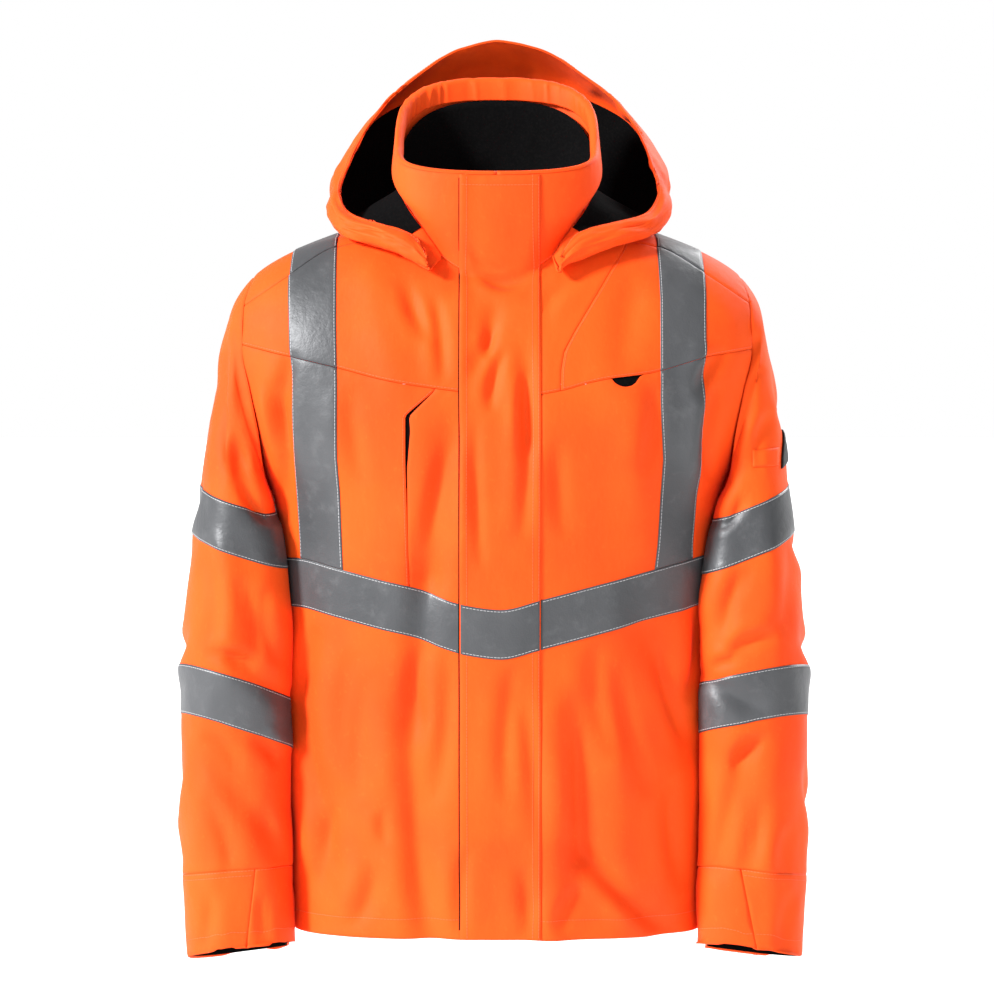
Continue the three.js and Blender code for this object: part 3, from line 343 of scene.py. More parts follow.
# Smaller creases of the sleeves: side face x1 z1 x2 z2 bend width depth ridge
SLEEVE_CREASES = [
    [-1, -1, 262, -90, 246, -150, 6, 6, -2.0, 0.5],
    [-1, -1, 262, -100, 262, -240, -8, 7, -2.0, 0.6],
    [-1, -1, 270, -170, 250, -262, 6, 8, -1.6, 0.5],
    [-1, -1, 248, -248, 214, -292, -5, 6, -2.4, 0.6],
    [-1, -1, 288, -300, 280, -420, 8, 10, -1.5, 0.5],
    [-1, -1, 252, -340, 236, -426, 6, 8, -1.7, 0.5],
    [-1, -1, 226, -350, 214, -430, -5, 7, -1.7, 0.5],
    [-1, -1, 286, -416, 236, -432, 6, 6, -1.8, 0.6],
    [-1, -1, 290, -500, 250, -540, 8, 8, -2.0, 0.5],
    [-1, -1, 240, -500, 212, -530, 4, 7, -2.2, 0.5],
    [-1, -1, 292, -560, 262, -640, 8, 9, -1.8, 0.5],
    [-1, -1, 286, -650, 292, -720, 3, 8, -1.2, 0.4],
    [-1, -1, 232, -655, 226, -715, -3, 6, -1.4, 0.4],
    [1, -1, 236, -100, 232, -146, 5, 4, -2.0, 0.6],
    [1, -1, 246, -92, 244, -132, -6, 5, -1.8, 0.6],
    [1, -1, 262, -140, 232, -176, 5, 7, -2.0, 0.5],
    [1, -1, 272, -180, 252, -236, 5, 8, -1.6, 0.5],
    [1, -1, 240, -260, 214, -296, -5, 7, -2.2, 0.5],
    [1, -1, 286, -300, 276, -400, -7, 10, -1.5, 0.5],
    [1, -1, 244, -330, 222, -400, 6, 8, -2.0, 0.5],
    [1, -1, 274, -400, 226, -418, 6, 7, -2.0, 0.6],
    [1, -1, 236, -424, 210, -432, 3, 5, -1.8, 0.5],
    [1, -1, 268, -500, 230, -532, 6, 7, -2.0, 0.5],
    [1, -1, 256, -560, 240, -640, -5, 8, -1.7, 0.5],
    [1, -1, 290, -590, 284, -640, 4, 9, -1.2, 0.5],
    [1, -1, 292, -655, 286, -720, 3, 8, -1.3, 0.4],
    [-1, 1, 258, -90, 244, -170, 6, 8, -2.2, 0.5],
    [-1, 1, 280, -230, 240, -290, 8, 9, -2.0, 0.5],
    [-1, 1, 290, -330, 240, -370, 8, 9, -2.0, 0.5],
    [-1, 1, 270, -420, 216, -436, 6, 8, -2.4, 0.5],
    [-1, 1, 292, -540, 250, -600, 8, 10, -2.0, 0.5],
    [-1, 1, 250, -610, 240, -700, 5, 8, -1.5, 0.5],
    [1, 1, 256, -96, 242, -180, -6, 8, -2.2, 0.5],
    [1, 1, 284, -220, 238, -280, 8, 9, -2.0, 0.5],
    [1, 1, 286, -340, 232, -372, 8, 9, -2.0, 0.5],
    [1, 1, 262, -416, 214, -430, 6, 8, -2.4, 0.5],
    [1, 1, 288, -500, 244, -540, 8, 10, -2.0, 0.5],
    [1, 1, 284, -620, 272, -700, 5, 8, -1.5, 0.5],
]


def power(value, exponent):
    return np.sign(value) * np.abs(value) ** exponent


def unit(vectors):
    return vectors / np.maximum(np.linalg.norm(vectors, axis=-1, keepdims=True), 1e-9)


def point(x, y, z):
    return np.stack(np.broadcast_arrays(x, y, z), axis=-1)


def unevenness(u, v, seed):
    """Soft random height from -1 to 1 over a plane with cells of size 1."""
    i, j = np.floor(u), np.floor(v)
    fu, fv = u - i, v - j
    fu, fv = fu * fu * (3 - 2 * fu), fv * fv * (3 - 2 * fv)

    def corner(a, b):
        h = np.sin((i + a) * 127.1 + (j + b) * 311.7 + seed * 74.7) * 43758.5453
        return (h - np.floor(h)) * 2 - 1

    low = corner(0, 0) * (1 - fu) + corner(1, 0) * fu
    high = corner(0, 1) * (1 - fu) + corner(1, 1) * fu
    return low * (1 - fv) + high * fv


def seam(rows, at_height=False):
    """Height of a seam at an x, or its x at a height."""
    curve = Table("x z", rows)
    x, z = curve.read(np.linspace(0, len(rows) - 1, 30 * len(rows)), "x z")
    here, there = (z, x) if at_height else (x, z)
    order = np.argsort(here)
    return lambda at: np.interp(at, here[order], there[order])


def straight(rows, at_height=False):
    """The same for a seam with straight runs."""
    x, z = np.array(rows, dtype=float).T
    here, there = (z, x) if at_height else (x, z)
    order = np.argsort(here)
    return lambda at: np.interp(at, here[order], there[order])


def constant(value):
    return lambda at: np.full(np.shape(at), float(value))


def fold_depth(folds, x, z):
    """Sum of soft folds along straight lines."""
    total = np.zeros(np.shape(x))
    for x1, z1, x2, z2, width, depth in folds:
        dx, dz = x2 - x1, z2 - z1
        length = math.hypot(dx, dz)
        t = ((x - x1) * dx + (z - z1) * dz) / (length * length)
        off = np.abs((x - x1) * dz - (z - z1) * dx) / length
        past = np.maximum(0, np.maximum(-t, t - 1)) * length
        total += depth * np.exp(-((off / width) ** 2) - (past / (1.6 * width)) ** 2)
    return total


def crease_depth(creases, x, z):
    """Sum of bent creases, each with a low ridge beside its trough and tapered ends."""
    total = np.zeros(np.shape(x))
    for x1, z1, x2, z2, bend, width, depth, ridge in creases:
        dx, dz = x2 - x1, z2 - z1
        length = math.hypot(dx, dz)
        t = ((x - x1) * dx + (z - z1) * dz) / (length * length)
        off = ((x - x1) * dz - (z - z1) * dx) / length - bend * 4 * t * (1 - t)
        taper = np.sin(np.pi * np.clip(t, 0, 1)) ** 0.8
        trough = np.exp(-((off / width) ** 2))
        beside = np.exp(-(((off - 2.0 * width) / (1.4 * width)) ** 2))
        total += depth * taper * (trough - ridge * beside)
    return total


# Body surface
def body_base(turn, at):
    side_z, front_z, back_z, half, front, back, fullness, corner, roll = BODY.read(at, " ".join(BODY.names))
    c = np.cos(turn)
    depth = np.where(c > 0, -front, back)
    end_z = np.where(c > 0, front_z, back_z)
    x = half * power(np.sin(turn), corner)
    return point(x, depth * np.abs(c) ** fullness, side_z + (end_z - side_z) * np.abs(c) ** roll)


def body_height(turn, at):
    side_z, front_z, back_z, roll = BODY.read(at, "side_z front_z back_z roll")
    c = np.cos(turn)
    return side_z + (np.where(c > 0, front_z, back_z) - side_z) * np.abs(c) ** roll


def row_at(turn, z, top=NECK_ROW, steps=22):
    """Row of the body, at a turn, that lies at a height."""
    low = np.zeros(np.shape(turn * z))
    high = np.full(low.shape, float(top))
    for _ in range(steps):
        at = (low + high) / 2
        below = body_height(turn, at) < z
        low, high = np.where(below, at, low), np.where(below, high, at)
    return low


def body_normal(turn, at):
    e = 0.01
    across = body_base(turn + e, at) - body_base(turn - e, at)
    up = body_base(turn, at + e) - body_base(turn, at - e)
    return unit(np.cross(across, up))


def body_relief(turn, base):
    """How far the worn cloth stands out from the plain body, at a point."""
    x, z = base[..., 0], base[..., 2]
    calm = np.minimum(1, np.abs(np.cos(turn)) / 0.25)
    hood_free = 1 - np.clip((np.abs(x) - 42) / 14, 0, 1) * np.clip((z + 78) / 30, 0, 1)
    by_arm = np.where(z > UNDERARM, np.clip((ARM_X(z) - np.abs(x)) / 14, 0, 1), 1)
    total = np.zeros(np.shape(x))
    for face in (-1, 1):
        here = (np.cos(turn) > 0) == (face < 0)
        main = fold_depth([f[1:] for f in BODY_FOLDS if f[0] == face], x, z)
        small = crease_depth([f[1:] for f in BODY_CREASES if f[0] == face], x, z)
        total += np.where(here, main + CREASING * hood_free * by_arm * small, 0)
    around = turn * 180
    total = total * calm
    soft = np.clip((20 - z) / 60, 0.25, 1) * (0.25 + 0.75 * calm)
    ripple = 1.3 * unevenness(around / 62, z / 120, 1) + 0.7 * unevenness(around / 27, z / 60, 2)
    return total + soft * hood_free * by_arm * ripple


def body_surface(turn, at, lift=0.0):
    base = body_base(turn, at)
    relief = body_relief(turn, base)
    return base + body_normal(turn, at) * (relief + lift)[..., None]


def body_reach(y, z):
    """Half width of the body at a depth and height below the arm."""
    at = np.interp(z, BODY.rows[:11, 0], np.arange(11))
    half, front, back, fullness = BODY.read(at, "half_width front back fullness")
    c = np.minimum(1, np.abs(y) / np.where(y < 0, front, back)) ** (1 / fullness)
    return half * np.sqrt(np.maximum(0, 1 - c * c))


HEIGHTS = np.linspace(-712, 14, 250)
ARM_X = seam(ARMHOLE, at_height=True)


def turn_at(x, z, back=False):
    """Turn of the body, front or back, at an x and a height."""
    low = np.zeros(np.shape(z))
    high = np.full(low.shape, math.pi / 2)
    for _ in range(22):
        turn = (low + high) / 2
        facing = math.pi - turn if back else turn
        inside = body_base(facing, row_at(facing, z))[..., 0] < np.abs(x)
        low, high = np.where(inside, turn, low), np.where(inside, high, turn)
    if back:
        return np.where(x > 0, math.pi - low, math.pi + low)
    return np.where(x > 0, low, -low)


def edge(x_at, back=False):
    """Edge of a panel: its turn at a height, from its x at a height."""
    turns = turn_at(x_at(HEIGHTS), HEIGHTS, back)
    return lambda z: np.interp(z, HEIGHTS, turns)


def arm_side(side):
    """x of the armhole seam, and past the side seam below the arm."""
    return lambda z: side * np.where(z > UNDERARM, ARM_X(z) - HALF_GAP, 1000)


RIGHT_EDGE = edge(arm_side(-1))
LEFT_EDGE = edge(arm_side(1))
BACK_LEFT_EDGE = edge(arm_side(1), back=True)
BACK_RIGHT_EDGE = edge(arm_side(-1), back=True)

CHEST_R, CHEST_L = seam(CHEST_RIGHT), seam(CHEST_LEFT)
SHOULDER_R, SHOULDER_L = seam(SHOULDER_RIGHT), seam(SHOULDER_LEFT)
BAND_TOP = seam(BAND_FRONT)


def chest_seam(x):
    return np.where(x <= FRONT_OPENING, CHEST_R(np.minimum(x, 3)), CHEST_L(np.maximum(x, 3)))


def shoulder_seam(x):
    return np.where(x < 0, SHOULDER_R(np.minimum(x, -60)), SHOULDER_L(np.maximum(x, 60)))


def neck_seam(x):
    """Height of the neck seam at the front."""
    turns = np.linspace(0, math.pi / 2, 90)
    ring = body_base(turns, np.full(90, float(NECK_ROW)))
    return np.interp(np.abs(x), ring[:, 0], ring[:, 2])


def graded(length, step=GRID):
    """Shares along a side: close together at both ends, then even."""
    if length < 34:
        return np.linspace(0, 1, max(4, round(length / min(step, 2.6))) + 1)
    ends = np.array([0, 0.8, 1.9, 3.8])
    middle = np.linspace(6.4, length - 6.4, max(3, round((length - 13) / step)) + 1)
    return np.concatenate([ends, middle, length - ends[::-1]]) / length


def patch(left, right, low, high, width, height, step=GRID):
    """Turns and rows of the body over a panel between two edges and two seams."""
    s, t = np.meshgrid(graded(width, step), graded(height, step))
    z = np.full(s.shape, -200.0)
    for _ in range(16):
        turn = left(z) + (right(z) - left(z)) * s
        x = body_base(turn, row_at(turn, z, steps=15))[..., 0]
        z = 0.58 * z + 0.42 * (low(x) + (high(x) - low(x)) * t)
    turn = left(z) + (right(z) - left(z)) * s
    return turn, row_at(turn, z)


def patch_by_x(left_x, right_x, low, high, width, height, step=GRID):
    """The same with columns evenly spread across, for panels that reach the shoulder."""
    s, t = np.meshgrid(graded(width, step), graded(height, step))
    z = np.full(s.shape, -90.0)
    for _ in range(30):
        x = left_x(z) + (right_x(z) - left_x(z)) * s
        z = 0.4 * z + 0.6 * (low(x) + (high(x) - low(x)) * t)
    turn = turn_at(x, z)
    return turn, row_at(turn, z)


# Shoulder: lines of the yoke that run from the back seam up and over to the front
YOKE_NECK_X = 74
YOKE_NECK_LEAN = math.radians(69)


def lean_at(x0, rows, back):
    """Turn from the middle, front or back, of a line at an x, following the armhole if it is far out."""
    x = x0
    for _ in range(4):
        width, corner = BODY.read(rows, "half_width corner")
        lean = np.arcsin(np.clip(x / width, 0, 1) ** (1 / corner))
        z = body_height(math.pi - lean if back else lean, rows)
        x = x0 + (ARM_X(z) - HALF_GAP - 240) * (x0 / 240) ** 6
    return lean


def row_for(x0, lean_end):
    """Row where a line at an x reaches a lean."""
    rows = np.linspace(8, NECK_ROW, 1200)
    reached = lean_at(x0, rows, True) >= lean_end
    return rows[reached.argmax()] if reached.any() else NECK_ROW


def resample(turn, row, shares):
    line = body_base(turn, row)
    length = np.concatenate([[0], np.cumsum(np.linalg.norm(np.diff(line, axis=0), axis=1))])
    at = shares * length[-1]
    return np.interp(at, length, turn), np.interp(at, length, row)


def rise(x, shares):
    """The back part of one line, up to the neck seam or the top of the shoulder."""
    far = min(1, max(0, (abs(x) - YOKE_NECK_X) / 56))
    end = row_for(abs(x), YOKE_NECK_LEAN + (math.pi / 2 - 0.002 - YOKE_NECK_LEAN) * far)
    start = turn_at(np.array([abs(x) + 0.0]), np.array([BACK_SEAM + HALF_GAP]), back=True)
    first = row_at(start, np.array([BACK_SEAM + HALF_GAP]))[0]
    rows = first + (end - first) * np.sin(np.linspace(0, math.pi / 2, 160))
    turn = math.pi - lean_at(abs(x), rows, True)
    turn, row = resample(turn, rows, shares)
    return (turn if x >= 0 else 2 * math.pi - turn), row


def fall(x, shares):
    """The front part of one line, over the shoulder to the front shoulder seam."""
    start_turn, start_row = rise(abs(x), np.array([1.0]))
    top = row_for(abs(x), math.pi / 2 - 0.001)
    back_rows = np.linspace(start_row[0], top, 50)
    back_turn = math.pi - lean_at(abs(x), back_rows, True)
    x_end = abs(x)
    for _ in range(6):
        z_end = shoulder_seam(np.array([math.copysign(x_end, x)]))[0] + HALF_GAP
        x_end = abs(x) + (ARM_X(z_end) - HALF_GAP - 240) * (abs(x) / 240) ** 6
    end = turn_at(np.array([x_end]), np.array([z_end]))[0]
    end_row = row_at(np.array([end]), np.array([z_end]))[0]
    front_rows = np.linspace(top, min(end_row, top), 70)
    front_turn = lean_at(abs(x), front_rows, False)
    turn = np.concatenate([[start_turn[0]], back_turn[1:], front_turn])
    row = np.concatenate([[start_row[0]], back_rows[1:], front_rows])
    turn, row = resample(turn, row, shares)
    return (turn if x >= 0 else 2 * math.pi - turn), row


def lines(follow, xs, shares):
    """Turns and rows of a set of lines, one to a column."""
    pairs = [follow(x, shares) for x in xs]
    return np.stack([p[0] for p in pairs], axis=1), np.stack([p[1] for p in pairs], axis=1)


# Sleeve surface
LOOP_Z = np.linspace(UNDERARM, ARM_TOP, 140)
LOOP_X = ARM_X(LOOP_Z) - 5
LOOP_FRONT = turn_at(LOOP_X, LOOP_Z)
LOOP_BACK = turn_at(LOOP_X, LOOP_Z, back=True)
LOOP_FRONT = body_base(LOOP_FRONT, row_at(LOOP_FRONT, LOOP_Z))
LOOP_BACK = body_base(LOOP_BACK, row_at(LOOP_BACK, LOOP_Z))


def armhole_loop(turn):
    z = UNDERARM + (ARM_TOP - UNDERARM) * (0.5 - 0.5 * np.cos(turn))
    ahead = np.sin(turn) >= 0
    x = np.where(ahead, np.interp(z, LOOP_Z, LOOP_FRONT[:, 0]), np.interp(z, LOOP_Z, LOOP_BACK[:, 0]))
    y = np.where(ahead, np.interp(z, LOOP_Z, LOOP_FRONT[:, 1]), np.interp(z, LOOP_Z, LOOP_BACK[:, 1]))
    return point(x, y * np.abs(np.sin(turn)) ** 0.05, z)


def keep_clear(p):
    """Keeps the inner side of a sleeve clear of the body, below the arm."""
    t = np.clip((UNDERARM + 4 - p[..., 2]) / 18, 0, 1)
    least = body_reach(p[..., 1], p[..., 2]) + SEAM_CLEARANCE + (CLEARANCE - SEAM_CLEARANCE) * t
    x = np.where(p[..., 2] < UNDERARM + 8, np.maximum(p[..., 0], least), p[..., 0])
    return point(x, p[..., 1], p[..., 2])


def sleeve_base(side, turn, at):
    """Sleeve with its largest folds, on the wearer's left whatever the side."""
    outer_x, outer_z, inner_x, inner_z, mid_y, depth, pitch, blend = SLEEVE.read(at, " ".join(SLEEVE.names))
    c, s = np.cos(turn), np.sin(turn)
    square = np.where((c > 0) & (blend < 0.3), 0.62, 0.86)
    reach = 0.5 - 0.5 * np.sign(c) * np.abs(c) ** square
    out = power(s, 0.86)
    x = inner_x + (outer_x - inner_x) * reach + side * SLEEVE_SHIFT * (1 - blend)
    p = point(x, mid_y - depth * out, inner_z + (outer_z - inner_z) * reach + pitch * depth * out)
    first = SLEEVE.rows[0]
    up = 0.5 - 0.5 * c
    loop = armhole_loop(turn)
    loop[..., 0] += inner_x - first[2] + (outer_x - first[0] - inner_x + first[2]) * up
    loop[..., 2] += inner_z - first[3] + (outer_z - first[1] - inner_z + first[3]) * up
    p = p + (loop - p) * blend[..., None]
    calm = np.minimum(1, np.abs(s) / 0.4)
    for face in (-1, 1):
        here = (s > 0) == (face < 0)
        folds = [f[2:] for f in SLEEVE_FOLDS if f[0] == side and f[1] == face]
        p[..., 1] += np.where(here, face * fold_depth(folds, p[..., 0], p[..., 2]) * calm, 0)
    return keep_clear(p)


def sleeve_surface(side, turn, at, lift=0.0):
    e = 0.01
    p = sleeve_base(side, turn, at)
    across = sleeve_base(side, turn + e, at) - sleeve_base(side, turn - e, at)
    up = sleeve_base(side, turn, at - e) - sleeve_base(side, turn, at + e)
    normal = unit(np.cross(across, up))
    s = np.sin(turn)
    calm = np.minimum(1, np.abs(s) / 0.4)
    relief = np.zeros(s.shape)
    for face in (-1, 1):
        here = (s > 0) == (face < 0)
        creases = [f[2:] for f in SLEEVE_CREASES if f[0] == side and f[1] == face]
        relief += np.where(here, CREASING * crease_depth(creases, p[..., 0], p[..., 2]) * calm, 0)
    outer = [f[1:] for f in OUTER_CREASES if f[0] == side]
    relief += CREASING * crease_depth(outer, p[..., 1], p[..., 2]) * np.maximum(0, -np.cos(turn)) ** 1.5
    around = (np.cos(turn) * 70 + np.sin(turn) * 30) * np.ones(np.shape(at))
    relief += (0.4 + 0.6 * calm) * 1.4 * unevenness(around / 40, p[..., 2] / 55, 5 + side)
    relief += (0.4 + 0.6 * calm) * 0.8 * unevenness(around / 19, p[..., 2] / 26, 9 + side)
    relief *= 1 - SLEEVE.read(at, "blend")[0]
    p = keep_clear(p + normal * (relief + lift)[..., None])
    p[..., 0] *= side
    return p


def first_outside(test, low, high, steps=22):
    """Smallest row, for each turn, at which a test holds."""
    low, high = np.broadcast_arrays(np.array(low, dtype=float), np.array(high, dtype=float))
    for _ in range(steps):
        at = (low + high) / 2
        yes = test(at)
        low, high = np.where(yes, low, at), np.where(yes, at, high)
    return high


def around_sleeve(side, count):
    """Turns once round a sleeve, so that the cloth faces outwards."""
    return side * np.linspace(0, 2 * math.pi, count)


def sleeve_cloth(side):
    turn = around_sleeve(side, 112)

    def outside(at):
        p = sleeve_base(side, turn, at)
        return (p[..., 0] > ARM_X(p[..., 2]) + HALF_GAP) | (p[..., 2] < UNDERARM - 0.5)

    start = first_outside(outside, np.zeros(turn.shape), np.full(turn.shape, 2.5))
    t = graded(600, 4.0)[::-1]
    turns, ts = np.meshgrid(turn, t)
    at = start[None, :] + (CUFF_ROW - start[None, :]) * ts ** 1.12
    return sleeve_surface(side, turns, at)


def sleeve_band(side, name, lift):
    outer_x, outer_z, inner_x, inner_z, lean = SLEEVE_BANDS[name, "arm" if lift > 0 else "forearm"]
    slope = (outer_z - inner_z) / (outer_x - inner_x)
    turn, share = np.meshgrid(around_sleeve(side, 112), np.linspace(1, 0, 16))

    def below(at):
        p = sleeve_base(side, turn, at)
        line = inner_z + (p[..., 0] - inner_x) * slope - TAPE_WIDTH * share
        return p[..., 2] - lean * p[..., 1] < line

    at = first_outside(below, np.full(turn.shape, 3.5), np.full(turn.shape, 12.4))
    return sleeve_surface(side, turn, at, abs(lift))


def cuff_parts(side, name):
    """The cuff and its gusset, split along a slanted seam at the front and the back."""
    split = straight(CUFF_SPLIT[name], at_height=True)
    ats = np.linspace(13, CUFF_ROW - 0.008, 26)

    def split_turn(ahead):
        low, high = np.full(ats.shape, 0.05), np.full(ats.shape, math.pi - 0.05)
        for _ in range(24):
            turn = (low + high) / 2
            p = sleeve_base(side, ahead * turn, ats)
            past = p[..., 0] > split(p[..., 2])
            low, high = np.where(past, low, turn), np.where(past, turn, high)
        return low

    front, back = split_turn(1), split_turn(-1)
    cuff_s, gusset_s = graded(150, 3.6), graded(90, 3.6)
    cuff = front[:, None] + (2 * math.pi - back - front)[:, None] * cuff_s
    gusset = -back[:, None] + (front + back)[:, None] * gusset_s
    rows = ats[:, None]
    if side < 0:
        cuff, gusset = cuff[:, ::-1], gusset[:, ::-1]
    outer = sleeve_surface(side, cuff, rows + 0 * cuff)
    inner = sleeve_surface(side, gusset, rows + 0 * gusset)
    return outer, inner


def on_sleeve(x, z):
    """Turn and row of the left sleeve's front at an x and height."""
    at = np.full(np.broadcast(x, z).shape, 5.0)
    for _ in range(4):
        low, high = np.full(at.shape, 0.1), np.full(at.shape, math.pi - 0.05)
        for _ in range(18):
            turn = (low + high) / 2
            short = sleeve_base(1, turn, at)[..., 0] < x
            low, high = np.where(short, turn, low), np.where(short, high, turn)
        low_at, high_at = np.full(at.shape, 2.5), np.full(at.shape, 8.0)
        for _ in range(18):
            at = (low_at + high_at) / 2
            above = sleeve_base(1, turn, at)[..., 2] > z
            low_at, high_at = np.where(above, at, low_at), np.where(above, high_at, at)
    return turn, at


# Hood surface
def hood_surface(across, down, lift=0.0):
    """Across is signed from the middle of the back, down runs from the brim to the neck."""
    e = 0.02

    def base(a, d):
        side = np.where(a < 0, -1.0, 1.0)
        rows = HOOD.read(np.abs(a) + 1, " ".join(HOOD.names))
        named = dict(zip(HOOD.names, rows))
        root = body_base(np.radians(named["turn"]), named["row"])
        away = unit(root * np.array([1.0, 1.0, 0.0]))
        root = root + away * HOOD_ROOT
        wide = np.where(side > 0, named["skew"], 0)
        spots = [point(named[f"{k}_x"] + wide, named[f"{k}_y"], named[f"{k}_z"])
                 for k in ("brim", "crown", "belly", "low")] + [root]
        spots = np.stack(spots)
        step = np.diff(spots, axis=0)
        same = step[:-1] * step[1:] > 0
        both = np.where(same, step[:-1] + step[1:], 1.0)
        slopes = np.concatenate([
            np.zeros((1,) + step.shape[1:]),
            np.where(same, 2 * step[:-1] * step[1:] / both, 0.0),
            np.zeros((1,) + step.shape[1:]),
        ])
        i = np.clip(np.floor(d).astype(int), 0, 3)
        t = (d - i)[..., None]
        pick = lambda stack, k: np.take_along_axis(stack, (i + k)[None, ..., None], axis=0)[0]
        t2, t3 = t * t, t * t * t
        p = (2 * t3 - 3 * t2 + 1) * pick(spots, 0) + (t3 - 2 * t2 + t) * pick(slopes, 0)
        p = p + (3 * t2 - 2 * t3) * pick(spots, 1) + (t3 - t2) * pick(slopes, 1)
        p[..., 0] *= side
        return p

    p = base(across, down)
    along_a = base(across + e, down) - base(across - e, down)
    along_d = base(across, np.minimum(down + e, 4)) - base(across, np.maximum(down - e, 0))
    normal = unit(np.cross(along_a, along_d))
    sag = 1.5 * unevenness(across * 1.3, down * 1.6, 21) + 0.8 * unevenness(across * 3.1, down * 3.7, 22)
    sag = sag + CREASING * crease_depth(HOOD_CREASES, across * 30, down * 30)
    fade = np.clip(down / 0.25, 0.4, 1) * np.clip((4 - down) / 0.4, 0, 1)
    return p + normal * (sag * fade + lift)[..., None]


def facing_at(across):
    return HOOD.read(np.abs(across) + 1, "facing")[0]


def hood_part(a_from, a_to, d_from, d_to, columns, rows, lift):
    """d_from and d_to are functions of across."""
    across, t = np.meshgrid(a_from + (a_to - a_from) * columns, rows)
    start, end = d_from(across), d_to(across)
    return hood_surface(across, start + (end - start) * t, lift)


# Mesh building
def lengths(points, axis):
    step = np.linalg.norm(np.diff(points, axis=axis), axis=-1)
    pad = [(1, 0), (0, 0)] if axis == 0 else [(0, 0), (1, 0)]
    return np.cumsum(np.pad(step, pad), axis=axis)


def grid_normals(points):
    return unit(np.cross(np.gradient(points, axis=1), np.gradient(points, axis=0)))


def sew(points, edges="", pucker=0.3, roll=0.55, seed=0):
    """Rolls the named edges (l r b t) into their seam and puckers the cloth beside them."""
    if not edges:
        return points
    normal = grid_normals(points)
    u, v = lengths(points, 1), lengths(points, 0)
    away = {"l": u, "r": u[:, -1:] - u, "b": v, "t": v[-1:, :] - v}
    runs = {"l": v, "r": v, "b": u, "t": u}
    relief = np.zeros(u.shape)
    for i, name in enumerate(edges):
        d, run = away[name], runs[name]
        wave = np.sin(run / 1.9 + 2.2 * unevenness(run / 23, d * 0, seed + 3 * i))
        swell = 0.5 + 0.5 * unevenness(run / 41, d * 0 + 1, seed + 7 * i)
        relief += pucker * wave * swell * np.exp(-((d / 7) ** 2)) * np.minimum(1, d / 1.5)
        relief -= roll * np.exp(-((d / 1.5) ** 2))
    return points + normal * relief[..., None]


def cloth(name, grids, material, nodes, thick, flat, closed=False, weld=False):
    """One sewn piece: grids of points in millimetres, facing outwards, given a thickness inwards."""
    grids = grids if isinstance(grids, list) else [grids]
    mesh = bmesh.new()
    uv = mesh.loops.layers.uv.new("cloth")
    edge_uv = mesh.loops.layers.uv.new("edge")
    for points in grids:
        rows, columns = points.shape[:2]
        u = lengths(points, 1)
        u = u - u[:, columns // 2][:, None]
        v = lengths(points, 0)
        side = np.minimum(u - u[:, :1], u[:, -1:] - u)
        end = np.minimum(v, v[-1:, :] - v)
        made = bmesh.ops.create_grid(mesh, x_segments=columns - 1, y_segments=rows - 1, size=0.5)["verts"]
        index = {}
        for vert in made:
            j = round((vert.co.x + 0.5) * (columns - 1))
            i = round((vert.co.y + 0.5) * (rows - 1))
            index[vert] = (i, j)
        for vert, (i, j) in index.items():
            vert.co = points[i, j] * MM
        faces = {face for vert in made for face in vert.link_faces}
        for face in faces:
            face.smooth = True
            for loop in face.loops:
                i, j = index[loop.vert]
                loop[uv].uv = (u[i, j] * MM, v[i, j] * MM)
                loop[edge_uv].uv = (side[i, j] * MM, end[i, j] * MM)
    if closed or weld:
        bmesh.ops.remove_doubles(mesh, verts=mesh.verts, dist=0.00004)
    data = bpy.data.meshes.new(name)
    mesh.to_mesh(data)
    mesh.free()
    data.materials.append(material)
    piece = bpy.data.objects.new(f"{name}_cloth", data)
    bpy.context.scene.collection.objects.link(piece)
    wall = piece.modifiers.new("thickness", "SOLIDIFY")
    wall.thickness = thick * MM
    wall.offset = -1
    wall.use_even_offset = False
    wall.use_rim = True
    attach(piece, "root")
    if nodes:
        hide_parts(*nodes)
    return piece


# Stitches
STITCHES = []


def stitch_line(points, side, inset, pitch=3.4, length=2.5, stand=0.12, start=0.0, end=1.0, width=0.55):
    """A row of stitches at a distance inside one edge (l r b t) of a grid of points."""
    grid = points if side in "lr" else points.transpose(1, 0, 2)
    if side in "rt":
        grid = grid[:, ::-1]
    away = lengths(grid, 1)
    spots = []
    for row, distance in zip(grid, away):
        spots.append([np.interp(inset, distance, row[:, k]) for k in range(3)])
    spots = np.array(spots)
    normal = unit(np.cross(np.gradient(points, axis=1), np.gradient(points, axis=0)))
    normal = normal if side in "lr" else normal.transpose(1, 0, 2)
    normal = normal[:, ::-1] if side in "rt" else normal
    near = np.abs(away - inset).argmin(axis=1)
    facing = normal[np.arange(len(normal)), near]
    run = np.concatenate([[0], np.cumsum(np.linalg.norm(np.diff(spots, axis=0), axis=1))])
    for middle in np.arange(run[-1] * start + pitch, run[-1] * end - pitch / 2, pitch):
        a, b = [np.array([np.interp(middle + h, run, spots[:, k]) for k in range(3)])
                for h in (-length / 2, length / 2)]
        n = np.array([np.interp(middle, run, facing[:, k]) for k in range(3)])
        STITCHES.append((a, b, n, width, stand))


